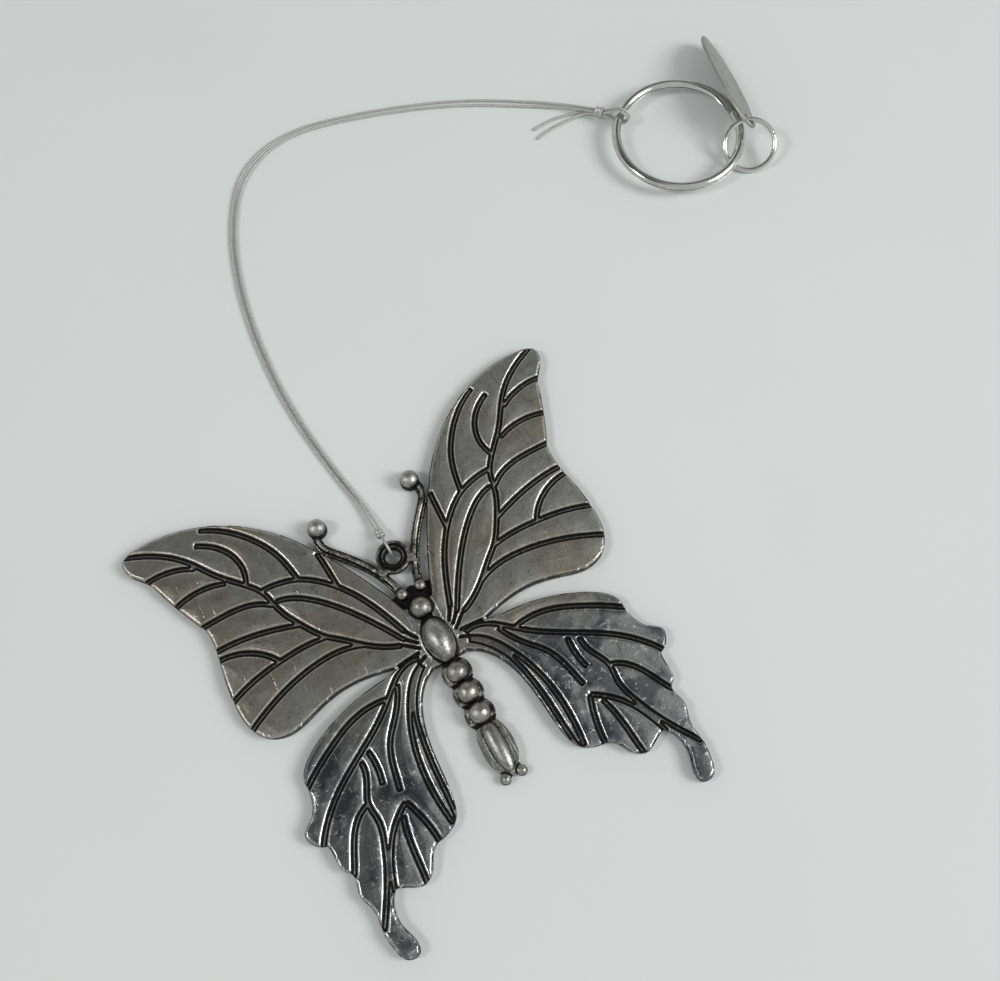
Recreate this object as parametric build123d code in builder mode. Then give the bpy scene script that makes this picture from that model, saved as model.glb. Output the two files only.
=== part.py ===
"""Butterfly ornament: one cast butterfly, its thread, a split ring, a jump ring and a tag.

All lengths are in millimetres.  The origin is on the flat back of the casting, under the
middle of the thorax.  +X is the butterfly's right wing, +Y is its head, +Z comes out of
the decorated face.  The thread, the rings and the tag lie on the surface that the back
rests on.
"""
import math
import os

from build123d import *

# Driving sizes of the casting
half_span = 37.0
fore_reach = 36.3
hind_reach = 36.6
wing_thickness = 1.8
vein_width = 0.86
vein_depth = 0.5
root_inset = 1.0

# Body of the butterfly, from the head to the tail
body_axis_height = 1.9
thorax_length = 7.2
thorax_radius = 2.4
thorax_place = 0.3
neck_width = 4.6
neck_back = -1.5
neck_height = 1.3
head_radius = 1.65
head_place = 6.1
antenna_root_radius = 0.9
antenna_root_spread = 1.5
antenna_root_place_share = 0.36364
bead_radius = 1.6
bead_pitch = 3.47
bead_count = 3
first_bead_place = -5.15
bead_flange_radius = 2.35
bead_flange_height = 1.2
tail_place = -17.4
tail_length = 8.4
tail_radius = 1.4
tail_flange_length = 9.6
tail_flange_width = 5.0
lobe_radius = 0.8
lobe_height = 0.7
lobe_spread = 1.35
lobe_place = -22.1

# Antennae, and the hanging eye between them
antenna_reach = 25.3
antenna_spread = 8.9
antenna_width = 1.4
antenna_height = 1.15
antenna_ridge_width = 0.6
antenna_ridge_height = 0.5
antenna_ball_radius = 1.5
antenna_ball_spread = 8.15
eye_place_share = 0.60079
eye_radius = 2.65
eye_hole_radius = 1.2
eye_back = 1.1
eye_thickness = 1.0
eye_step_radius = 1.95
eye_step_width = 0.3
eye_step_depth = 0.3
eye_joint_radius = 0.65
eye_joint_spread_share = 0.2809
eye_joint_place_share = 0.54348

# Thread, its loops and its knots
thread_diameter = 0.5
thread_gap = 0.08
loop_clearance = 0.15
surface_gap = 0.03
eye_knot_radius = 0.72
eye_knot_length = 1.4
ring_knot_radius = 0.95
ring_knot_length = 1.6
knot_waist_share = 0.8
knot_overlap = 0.2
eye_loop_reach = 1.9
ring_loop_reach = 3.2
eye_loop_drop = 8.0
ring_loop_drop = 12.0

# Split ring, which is a coil of two flat turns
ring_radius = 11.7
ring_band = 1.6
ring_wire_height = 0.65
ring_turn_gap = 0.06
ring_edge_radius = 0.22
ring_centre_x = 79.68
ring_centre_y = 58.44
ring_mid_height = 2.45
ring_loop_angle = 128.3
ring_link_angle = -41.5
ring_joggle_start = -4.0
ring_joggle_sweep = 34.0
ring_end_gap = 1.5
joggle_steps = 6

# Jump ring, linked through the split ring and leaning over it
jump_radius = 4.75
jump_wire = 0.9
jump_link_offset = 1.6
jump_lean = 30.0
jump_floor_gap = 0.05
jump_cut_angle = 35.0
jump_cut_sweep = 1.6
tag_link_angle = 106.0

# Tag, a thin oval plate with a hole at one end
tag_length = 23.0
tag_width = 8.0
tag_thickness = 0.5
tag_hole_radius = 1.05
tag_hole_inset = 1.9
tag_heading = 76.5
tag_slope = -6.7
tag_roll = 48.0

overrun = 1.0

# Outline of one forewing, as shares of half_span and fore_reach: leading edge, outer
# edge down to its bay, and the rest round to the notch above the hindwing
fore_lead_shares = [(0.065, 0.204), (0.130, 0.361), (0.227, 0.545), (0.335, 0.711),
                    (0.465, 0.846), (0.643, 0.953), (0.838, 0.999), (0.951, 0.994)]
fore_tip_shares = [(0.951, 0.994), (0.996, 0.961), (0.986, 0.901), (0.946, 0.851),
                   (0.900, 0.744), (0.854, 0.628), (0.808, 0.534)]
fore_back_shares = [(0.808, 0.534), (0.802, 0.468), (0.816, 0.353), (0.830, 0.215),
                    (0.822, 0.088), (0.773, 0.003), (0.686, -0.028), (0.568, -0.003),
                    (0.449, 0.025), (0.324, 0.022), (0.200, -0.004)]

# Outline of one hindwing, as shares of half_span and hind_reach: shoulder, three
# scallops, the tail, two lobes and the inner edge
hind_shoulder_shares = [(0.200, -0.008), (0.270, -0.019), (0.403, -0.036), (0.543, -0.079),
                        (0.651, -0.134), (0.719, -0.213), (0.722, -0.240)]
hind_point_shares = [(0.722, -0.240), (0.724, -0.284), (0.762, -0.361), (0.808, -0.404),
                     (0.797, -0.448), (0.751, -0.481)]
hind_scallop_shares = [(0.751, -0.481), (0.744, -0.536), (0.742, -0.582), (0.716, -0.615)]
hind_tail_shares = [(0.716, -0.615), (0.714, -0.656), (0.724, -0.702), (0.708, -0.754),
                    (0.700, -0.792), (0.706, -0.861), (0.697, -0.934), (0.665, -0.995),
                    (0.622, -0.995), (0.611, -0.951), (0.632, -0.880), (0.632, -0.814),
                    (0.595, -0.749)]
hind_lobe_shares = [(0.595, -0.749), (0.551, -0.768), (0.495, -0.791), (0.443, -0.760),
                    (0.408, -0.702), (0.376, -0.680)]
hind_inner_shares = [(0.376, -0.680), (0.324, -0.669), (0.276, -0.639), (0.249, -0.574),
                     (0.235, -0.437), (0.222, -0.314), (0.186, -0.194), (0.135, -0.120),
                     (0.076, -0.082)]

# Veins of one forewing, as shares of half_span and fore_reach
fore_vein_shares = [
    [(0.657, 0.939), (0.565, 0.882), (0.478, 0.788), (0.424, 0.694), (0.397, 0.601),
     (0.386, 0.534)],
    [(0.700, 0.884), (0.632, 0.840), (0.586, 0.780), (0.565, 0.702), (0.584, 0.620)],
    [(0.980, 0.985), (0.870, 0.934), (0.805, 0.887), (0.738, 0.813), (0.678, 0.725),
     (0.577, 0.612), (0.533, 0.545), (0.519, 0.490), (0.500, 0.430), (0.459, 0.353),
     (0.395, 0.259), (0.343, 0.212), (0.268, 0.143), (0.141, 0.066)],
    [(0.735, 0.791), (0.822, 0.829), (0.945, 0.835)],
    [(0.651, 0.669), (0.732, 0.691), (0.885, 0.672)],
    [(0.524, 0.485), (0.605, 0.532), (0.689, 0.545), (0.820, 0.543)],
    [(0.459, 0.353), (0.586, 0.394), (0.695, 0.416), (0.815, 0.421)],
    [(0.825, 0.383), (0.724, 0.366), (0.651, 0.322), (0.600, 0.259)],
    [(0.392, 0.253), (0.492, 0.262), (0.600, 0.256), (0.719, 0.237), (0.845, 0.193)],
    [(0.268, 0.143), (0.384, 0.174), (0.505, 0.168), (0.632, 0.138), (0.830, 0.050)],
    [(0.386, 0.534), (0.468, 0.559), (0.543, 0.565)],
    [(0.386, 0.534), (0.314, 0.482), (0.257, 0.421), (0.208, 0.350), (0.151, 0.234),
     (0.105, 0.110)],
    [(0.268, 0.600), (0.262, 0.521), (0.257, 0.421)],
    [(0.508, 0.493), (0.438, 0.471), (0.373, 0.424), (0.292, 0.339), (0.197, 0.207),
     (0.119, 0.077)],
]

# Veins of one hindwing, as shares of half_span and hind_reach
hind_vein_shares = [
    [(0.105, -0.016), (0.168, -0.014), (0.219, -0.038), (0.292, -0.101), (0.378, -0.169),
     (0.508, -0.249), (0.632, -0.331), (0.705, -0.399), (0.765, -0.480)],
    [(0.292, -0.098), (0.365, -0.090), (0.462, -0.107), (0.565, -0.153), (0.638, -0.194),
     (0.735, -0.262)],
    [(0.232, -0.063), (0.257, -0.117), (0.300, -0.178), (0.354, -0.243), (0.386, -0.314),
     (0.403, -0.388), (0.414, -0.440)],
    [(0.108, -0.041), (0.159, -0.071), (0.219, -0.150), (0.268, -0.257), (0.300, -0.399),
     (0.305, -0.516), (0.292, -0.650)],
    [(0.454, -0.238), (0.449, -0.303), (0.462, -0.385)],
    [(0.497, -0.262), (0.511, -0.344), (0.543, -0.421), (0.538, -0.489), (0.559, -0.590),
     (0.592, -0.672), (0.641, -0.765), (0.700, -0.860)],
    [(0.543, -0.421), (0.608, -0.456), (0.654, -0.519), (0.712, -0.634)],
    [(0.414, -0.486), (0.470, -0.525), (0.527, -0.587), (0.568, -0.661), (0.603, -0.760)],
    [(0.414, -0.486), (0.389, -0.557), (0.368, -0.692)],
    [(0.446, -0.525), (0.465, -0.607), (0.473, -0.689), (0.481, -0.800)],
    [(0.105, -0.049), (0.168, -0.109), (0.216, -0.191), (0.243, -0.303), (0.257, -0.426),
     (0.262, -0.536), (0.273, -0.650)],
]

# Middle line of one antenna, as shares of antenna_spread and antenna_reach
antenna_shares = [(0.170, 0.380), (0.275, 0.498), (0.420, 0.605), (0.612, 0.706),
                  (0.830, 0.800), (0.985, 0.880), (1.000, 0.940), (0.930, 1.000)]


def placed(shares, width, reach):
    """Points of a table of shares, in millimetres."""
    return [(x * width, y * reach) for x, y in shares]


def heading(angle):
    """Unit vector in the plane of the surface, at an angle from +X in degrees."""
    return Vector(math.cos(math.radians(angle)), math.sin(math.radians(angle)), 0)


fore_veins = [placed(shares, half_span, fore_reach) for shares in fore_vein_shares]
hind_veins = [placed(shares, half_span, hind_reach) for shares in hind_vein_shares]
vein_floor = wing_thickness - vein_depth
antenna_line = placed(antenna_shares, antenna_spread, antenna_reach)
bead_places = [first_bead_place - bead_pitch * i for i in range(bead_count)]

# The neck reaches to the antenna roots, and the hanging eye sits where the antennae carry it
antenna_root_place = antenna_reach * antenna_root_place_share
neck_front = antenna_root_place + antenna_root_radius
neck_length = neck_front - neck_back
neck_place = (neck_front + neck_back) / 2
eye_place = antenna_reach * eye_place_share
eye_joint_place = antenna_reach * eye_joint_place_share
eye_joint_spread = antenna_spread * eye_joint_spread_share


def dome(place, radius, height, stretch=1):
    """Round post with a half ball on top, stretched along Y, in the part that is being built."""
    with BuildSketch(Plane.XZ) as section:
        with BuildLine():
            Polyline((0, height + radius), (0, 0), (radius, 0), (radius, height))
            RadiusArc((radius, height), (0, height + radius), -radius)
        make_face()
    post = revolve(section.sketch, axis=Axis.Z, mode=Mode.PRIVATE)
    if stretch > 1:
        post = scale(post, by=(1, stretch, 1), mode=Mode.PRIVATE)
    with Locations((*place, 0)):
        add(post)


# Wings and antennae: one side, then its mirror image
with BuildPart() as wings:
    with BuildSketch():
        with BuildLine():
            lead = Spline(*placed(fore_lead_shares, half_span, fore_reach))
            Spline(*placed(fore_tip_shares, half_span, fore_reach))
            back = Spline(*placed(fore_back_shares, half_span, fore_reach))
            Polyline(back @ 1, (root_inset, -root_inset),
                     (root_inset, head_place), lead @ 0)
        make_face()
    with BuildSketch():
        with BuildLine():
            shoulder = Spline(*placed(hind_shoulder_shares, half_span, hind_reach))
            for shares in (hind_point_shares, hind_scallop_shares, hind_tail_shares,
                           hind_lobe_shares):
                Spline(*placed(shares, half_span, hind_reach))
            inner = Spline(*placed(hind_inner_shares, half_span, hind_reach))
            Polyline(inner @ 1, (root_inset, (inner @ 1).Y), (root_inset, root_inset),
                     shoulder @ 0)
        make_face()
    extrude(amount=wing_thickness)

    # Veins sunk into the face
    for veins in (fore_veins, hind_veins):
        with BuildSketch(Plane.XY.offset(vein_floor)):
            for points in veins:
                with BuildLine():
                    line = Spline(*points)
                trace(line, line_width=vein_width)
        extrude(amount=vein_depth + overrun, mode=Mode.SUBTRACT)

    # Antenna with its ridge and its ball
    with BuildSketch():
        with BuildLine():
            stem = Spline(*antenna_line)
        trace(stem, line_width=antenna_width)
    extrude(amount=antenna_height)
    with BuildSketch(Plane.XY.offset(antenna_height)):
        with BuildLine():
            stem_top = Spline(*antenna_line)
        trace(stem_top, line_width=antenna_ridge_width)
    extrude(amount=antenna_ridge_height)
    dome((antenna_ball_spread, antenna_reach), antenna_ball_radius, antenna_ball_radius)
    mirror(about=Plane.YZ)

# Body: neck plate, head, antenna roots, thorax, beaded abdomen and almond tail
with BuildPart() as body:
    with BuildSketch():
        with Locations((0, neck_place)):
            Ellipse(neck_width / 2, neck_length / 2)
    extrude(amount=neck_height)
    with BuildSketch():
        with Locations(*[(0, place) for place in bead_places]):
            Circle(bead_flange_radius)
        with Locations((0, tail_place)):
            Ellipse(tail_flange_width / 2, tail_flange_length / 2)
    extrude(amount=bead_flange_height)
    dome((0, head_place), head_radius, body_axis_height)
    for place in bead_places:
        dome((0, place), bead_radius, body_axis_height)
    for side in (-1, 1):
        dome((side * antenna_root_spread, antenna_root_place), antenna_root_radius,
             body_axis_height)
        dome((side * lobe_spread, lobe_place), lobe_radius, lobe_height)
    dome((0, thorax_place), thorax_radius, body_axis_height, thorax_length / (2 * thorax_radius))
    dome((0, tail_place), tail_radius, bead_flange_height, tail_length / (2 * tail_radius))

    # Hanging eye, raised off the back so that the thread passes under its rim
    with BuildSketch(Plane.XY.offset(eye_back)):
        with Locations((0, eye_place)):
            Circle(eye_radius)
            Circle(eye_hole_radius, mode=Mode.SUBTRACT)
    extrude(amount=eye_thickness)
    with BuildSketch(Plane.XY.offset(eye_back + eye_thickness - eye_step_depth)):
        with Locations((0, eye_place)):
            Circle(eye_step_radius + eye_step_width / 2)
            Circle(eye_step_radius - eye_step_width / 2, mode=Mode.SUBTRACT)
    extrude(amount=eye_step_depth + overrun, mode=Mode.SUBTRACT)
    with BuildSketch(Plane.XY.offset(antenna_height / 2)):
        with Locations((-eye_joint_spread, eye_joint_place),
                       (eye_joint_spread, eye_joint_place)):
            Circle(eye_joint_radius)
    extrude(amount=eye_back + eye_thickness - antenna_height / 2)

# The casting is all of that in one metal
with BuildPart() as butterfly_casting:
    add(wings.part)
    add(body.part)
butterfly_casting.part.label = "butterfly_casting"

# Thread: where its loops turn, and the lines of its two knots
thread_radius = thread_diameter / 2
pair_offset = (thread_diameter + thread_gap) / 2
lay_height = thread_radius + surface_gap
up = Vector(0, 0, 1)

eye_turn = Vector(0, eye_place + (eye_radius + eye_hole_radius) / 2, eye_back + eye_thickness / 2)
eye_corner = math.hypot((eye_radius - eye_hole_radius) / 2, eye_thickness / 2)
eye_loop_radius = eye_corner + loop_clearance + thread_radius
eye_drop = math.radians(eye_loop_drop)
eye_line = Vector(0, math.cos(eye_drop), -math.sin(eye_drop))
eye_side = Vector(1, 0, 0)

ring_height = 2 * ring_wire_height + ring_turn_gap
ring_mid_radius = ring_radius - ring_band / 2
ring_centre = Vector(ring_centre_x, ring_centre_y, ring_mid_height)
ring_out = heading(ring_loop_angle)
ring_side = heading(ring_loop_angle - 90)
ring_turn = ring_centre + ring_out * ring_mid_radius
ring_corner = ring_edge_radius + math.hypot(ring_band / 2 - ring_edge_radius,
                                            ring_height / 2 - ring_edge_radius)
ring_loop_radius = ring_corner + loop_clearance + thread_radius
ring_drop = math.radians(ring_loop_drop)
ring_line = ring_out * math.cos(ring_drop) - up * math.sin(ring_drop)
ring_rise = ring_out * math.sin(ring_drop) + up * math.cos(ring_drop)


def draw_loop(turn, line, side, radius, reach):
    """Line of one loop, with both ends a little inside the knot."""
    end = reach + knot_overlap
    start = math.hypot(end, pair_offset)
    angle = math.atan2(pair_offset, end) + math.acos(radius / start)
    touch = (radius * math.cos(angle), radius * math.sin(angle))
    with BuildLine(Plane(turn, x_dir=line, z_dir=side)) as path:
        Line((end, pair_offset), touch)
        ThreePointArc(touch, (-radius, 0), (touch[0], -touch[1]))
        Line((touch[0], -touch[1]), (end, -pair_offset))
    return path.wires()[0]


def tube(path):
    """Sweep the thread's round section along a path, in the part that is being built."""
    with BuildSketch(Plane(path @ 0, z_dir=path % 0)) as section:
        Circle(thread_radius)
    sweep(section.sketch, path=path)


def barrel(start, line, side, length, radius):
    """Turn a knot: a barrel with two flat ends along a line from a start."""
    with BuildSketch(Plane(start, x_dir=line, z_dir=side)) as section:
        with BuildLine():
            Polyline((length, radius * knot_waist_share), (length, 0), (0, 0),
                     (0, radius * knot_waist_share))
            ThreePointArc((0, radius * knot_waist_share), (length / 2, radius),
                          (length, radius * knot_waist_share))
        make_face()
    revolve(section.sketch, axis=Axis(start, line))


def rounded_route(points):
    """Straight runs joined by arcs, each as large as its two runs allow."""
    radii = []
    for before, corner, after in zip(points, points[1:], points[2:]):
        run_in = Vector(*corner) - Vector(*before)
        run_out = Vector(*after) - Vector(*corner)
        half_turn = math.radians(run_in.get_angle(run_out) / 2)
        radii.append(0.45 * min(run_in.length, run_out.length) / math.tan(half_turn))
    print("radii", [round(radius, 1) for radius in radii])
    with BuildLine() as path:
        FilletPolyline(*points, radius=radii)
    return path.wires()[0]


# Eye end of the thread: the knot, and one turn of thread from it through the eye
with BuildPart() as eye_knot:
    barrel(eye_turn + eye_line * eye_loop_reach, eye_line, eye_side,
           eye_knot_length, eye_knot_radius)
eye_knot.part.label = "eye_knot"

with BuildPart() as eye_loop:
    tube(draw_loop(eye_turn, eye_line, eye_side, eye_loop_radius, eye_loop_reach))
    add(eye_knot.part, mode=Mode.SUBTRACT)
eye_loop.part.label = "eye_loop"

# Ring end of the thread: the knot, and both threads from it round the split ring
with BuildPart() as ring_knot:
    barrel(ring_turn + ring_line * ring_loop_reach, ring_line, ring_side,
           ring_knot_length, ring_knot_radius)
ring_knot.part.label = "ring_knot"

ring_loops = []
for name, shift in (("ring_loop_left", pair_offset), ("ring_loop_right", -pair_offset)):
    with BuildPart() as ring_loop:
        tube(draw_loop(ring_turn + ring_side * shift, ring_line, ring_side,
                       ring_loop_radius, ring_loop_reach))
        add(ring_knot.part, mode=Mode.SUBTRACT)
    ring_loop.part.label = name
    ring_loops.append(ring_loop.part)

# Routes of the two strands and of the two cut tails, on the surface beside the wings
eye_face = eye_turn + eye_line * (eye_loop_reach + eye_knot_length)
ring_face = ring_turn + ring_line * (ring_loop_reach + ring_knot_length)
eye_lead = 4.2
ring_lead = 4.9
tail_lead = 1.8
left_lay = [(-1.9, 32.6), (-3.35, 45.8), (-2.85, 58.6), (-1.0, 70.4), (2.75, 82.0),
            (9.2, 92.3), (19.8, 96.1), (34.2, 92.7), (49.8, 86.6), (60.7, 79.85)]
right_lay = [(-1.15, 32.4), (-2.5, 45.9), (-2.05, 58.3), (-0.25, 69.9), (3.4, 81.3),
             (9.7, 91.2), (20.0, 95.2), (33.8, 91.9), (49.3, 85.75), (60.1, 78.95)]
left_tail_lay = [(65.6, 73.4), (62.2, 73.9), (59.1, 73.6)]
right_tail_lay = [(65.5, 72.2), (62.0, 72.3), (58.7, 71.6)]


def strand_route(lay, side):
    """Points of a strand from the eye knot, over the surface, to the ring knot."""
    eye_end = eye_face + eye_side * (side * pair_offset)
    ring_end = ring_face - ring_side * (side * pair_offset) + ring_rise * pair_offset
    return ([eye_end, eye_end + eye_line * eye_lead]
            + [Vector(x, y, lay_height) for x, y in lay]
            + [ring_end + ring_line * ring_lead, ring_end])


def tail_route(lay, side):
    """Points of a cut tail from the ring knot down to the surface."""
    end = ring_face - ring_side * (side * pair_offset) - ring_rise * pair_offset
    return [end, end + ring_line * tail_lead] + [Vector(x, y, lay_height) for x, y in lay]


routes = {
    "cord_strand_left": strand_route(left_lay, -1),
    "cord_strand_right": strand_route(right_lay, 1),
    "cord_tail_left": tail_route(left_tail_lay, -1),
    "cord_tail_right": tail_route(right_tail_lay, 1),
}
strands = []
for name, points in routes.items():
    with BuildPart() as strand:
        route = rounded_route(points)
        tube(route)
    strand.part.label = name
    strands.append(strand.part)
    expected = math.pi * thread_radius ** 2 * route.length
    print(name, "length", round(route.length, 1), "volume", round(strand.part.volume, 2),
          "of", round(expected, 2))


def ring_section(angle, height):
    """Section of the flat wire at one angle round the ring, at one height."""
    with BuildSketch(Plane(ring_centre, x_dir=heading(angle), z_dir=heading(angle - 90))) as section:
        with Locations((ring_mid_radius, height)):
            RectangleRounded(ring_band, ring_wire_height, ring_edge_radius)
    return section.sketch


# Split ring: a lower turn, the joggle that climbs to the next level, and an upper turn
ring_level = (ring_wire_height + ring_turn_gap) / 2
ring_axis = Axis(ring_centre, (0, 0, 1))
turn_start = ring_joggle_start + ring_joggle_sweep
turn_sweep = 360 - ring_joggle_sweep
with BuildPart() as split_ring:
    revolve(ring_section(turn_start, -ring_level), axis=ring_axis, revolution_arc=turn_sweep)
    revolve(ring_section(turn_start, ring_level), axis=ring_axis,
            revolution_arc=turn_sweep - ring_end_gap)
    joggle = []
    for step in range(joggle_steps + 1):
        share = step / joggle_steps
        climb = share * share * (3 - 2 * share)
        joggle.append(ring_section(ring_joggle_start + ring_joggle_sweep * share,
                                   ring_level * (2 * climb - 1)))
    loft(joggle)
split_ring.part.label = "split_ring"

# Jump ring: round wire with a cut, through the split ring and leaning over it
link_out = heading(ring_link_angle)
link_along = heading(ring_link_angle + 90)
lean = math.radians(jump_lean)
jump_mid_radius = jump_radius - jump_wire / 2
jump_rise = link_along * math.cos(lean) + up * math.sin(lean)
jump_normal = up * math.cos(lean) - link_along * math.sin(lean)
jump_height = jump_mid_radius * math.sin(lean) + jump_wire / 2 + jump_floor_gap
jump_centre = (Vector(ring_centre_x, ring_centre_y, jump_height)
               + link_out * (ring_mid_radius + jump_link_offset))
cut_angle = math.radians(jump_cut_angle)
cut_out = link_out * math.cos(cut_angle) + jump_rise * math.sin(cut_angle)
with BuildPart() as jump_ring:
    with BuildSketch(Plane(jump_centre, x_dir=cut_out, z_dir=cut_out.cross(jump_normal))):
        with Locations((jump_mid_radius, 0)):
            Circle(jump_wire / 2)
    revolve(axis=Axis(jump_centre, jump_normal), revolution_arc=360 - jump_cut_sweep)
jump_ring.part.label = "jump_ring"

# Tag: its hole is round the jump ring's wire, and one long edge lies low
tag_turn = math.radians(tag_link_angle)
tag_hole_centre = jump_centre + (link_out * math.cos(tag_turn)
                                 + jump_rise * math.sin(tag_turn)) * jump_mid_radius
slope = math.radians(tag_slope)
roll = math.radians(tag_roll)
tag_long = heading(tag_heading) * math.cos(slope) + up * math.sin(slope)
tag_level = heading(tag_heading + 90)
tag_flat_normal = tag_long.cross(tag_level)
tag_normal = tag_flat_normal * math.cos(roll) - tag_level * math.sin(roll)
with BuildPart() as tag:
    with BuildSketch(Plane(tag_hole_centre, x_dir=tag_long, z_dir=tag_normal)):
        with Locations((tag_length / 2 - tag_hole_inset, 0)):
            Ellipse(tag_length / 2, tag_width / 2)
        Circle(tag_hole_radius, mode=Mode.SUBTRACT)
    extrude(amount=tag_thickness / 2, both=True)
tag.part.label = "tag"

tag_line = link_out * math.sin(tag_turn) - jump_rise * math.cos(tag_turn)
print("hinge of the cord at", eye_turn, "of the split ring at", ring_turn, "about", ring_side)
print("hinge of the jump ring at", ring_centre + link_out * ring_mid_radius, "about", -link_along)
print("hinge of the tag at", tag_hole_centre, "about", tag_line)

os.makedirs("parts", exist_ok=True)
for piece in (butterfly_casting.part, eye_loop.part, eye_knot.part, *ring_loops,
              ring_knot.part, split_ring.part, jump_ring.part, tag.part, *strands):
    export_step(piece, "parts/" + piece.label + ".step")
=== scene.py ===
"""Butterfly ornament: the looks of its casting, thread, rings and tag.

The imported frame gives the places. Every length is in millimetres until it is handed to
Blender, in metres, by the helpers below. Only the studio's lamps and paper are in metres.
"""

from __future__ import annotations

import logging
import math
from dataclasses import dataclass, field
from enum import Enum
from typing import Iterable, Sequence

import bmesh
import bpy
import numpy as np
from mathutils import Matrix, Vector, noise
from mathutils.bvhtree import BVHTree

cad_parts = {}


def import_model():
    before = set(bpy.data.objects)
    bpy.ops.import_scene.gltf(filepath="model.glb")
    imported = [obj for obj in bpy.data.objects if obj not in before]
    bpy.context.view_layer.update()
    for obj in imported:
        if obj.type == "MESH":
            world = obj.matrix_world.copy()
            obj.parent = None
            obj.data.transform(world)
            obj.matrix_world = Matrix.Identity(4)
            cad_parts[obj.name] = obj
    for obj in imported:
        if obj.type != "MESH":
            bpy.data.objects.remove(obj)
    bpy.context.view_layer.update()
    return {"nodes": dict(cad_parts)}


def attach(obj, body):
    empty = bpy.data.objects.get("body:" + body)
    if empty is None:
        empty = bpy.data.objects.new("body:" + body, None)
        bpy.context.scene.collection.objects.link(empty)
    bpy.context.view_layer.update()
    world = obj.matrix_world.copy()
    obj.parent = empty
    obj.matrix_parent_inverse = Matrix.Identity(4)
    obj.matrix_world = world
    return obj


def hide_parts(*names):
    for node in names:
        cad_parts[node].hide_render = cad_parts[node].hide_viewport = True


MM = 0.001
UP = Vector((0.0, 0.0, 1.0))
Colour = tuple[float, float, float]
Pair = tuple[float, float]
log = logging.getLogger("butterfly")


def heading(degrees: float) -> Vector:
    """Unit vector in the ground plane at an angle from +X."""
    return Vector((math.cos(math.radians(degrees)), math.sin(math.radians(degrees)), 0.0))


def axes(origin: Vector, x: Vector, y: Vector) -> Matrix:
    """Matrix that puts a drawing in a plane.

    Args:
        origin: The plane's origin, in millimetres.
        x: The drawing's X direction.
        y: The drawing's Y direction.

    Returns:
        A 4x4 matrix, still in millimetres.
    """
    z = x.cross(y).normalized()
    return Matrix.Translation(origin) @ Matrix((x, y, z)).transposed().to_4x4()


def smooth_share(values: np.ndarray, low: float, high: float) -> np.ndarray:
    """Share from 0 at low to 1 at high, with soft ends."""
    share = np.clip((values - low) / (high - low), 0.0, 1.0)
    return share * share * (3.0 - 2.0 * share)


# Shader maths


class Value:
    """A shader number that takes part in Python sums."""

    def __init__(self, recipe: "Recipe", socket: bpy.types.NodeSocket) -> None:
        """Keep the recipe that the socket belongs to."""
        self.recipe = recipe
        self.socket = socket

    def _sum(self, operation: str, first: "Value | float", second: "Value | float") -> "Value":
        """Add a Math node for one operation.

        Args:
            operation: The Math node's operation.
            first: Its first value.
            second: Its second value.

        Returns:
            The node's result.
        """
        made = self.recipe.node("ShaderNodeMath", {"operation": operation},
                                {0: first, 1: second})
        return Value(self.recipe, made.outputs[0])

    def __add__(self, other: "Value | float") -> "Value":
        """Sum."""
        return self._sum("ADD", self, other)

    __radd__ = __add__

    def __sub__(self, other: "Value | float") -> "Value":
        """Difference."""
        return self._sum("SUBTRACT", self, other)

    def __rsub__(self, other: float) -> "Value":
        """Difference, with the number first."""
        return self._sum("SUBTRACT", other, self)

    def __mul__(self, other: "Value | float") -> "Value":
        """Product."""
        return self._sum("MULTIPLY", self, other)

    __rmul__ = __mul__

    def at_least(self, other: "Value | float") -> "Value":
        """The larger of two."""
        return self._sum("MAXIMUM", self, other)

    def above(self, low: float, high: float) -> "Value":
        """Share from 0 at low to 1 at high, held between them."""
        made = self.recipe.node("ShaderNodeMapRange", {"interpolation_type": "SMOOTHSTEP"},
                                {"Value": self, "From Min": low, "From Max": high})
        return Value(self.recipe, made.outputs[0])


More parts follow.
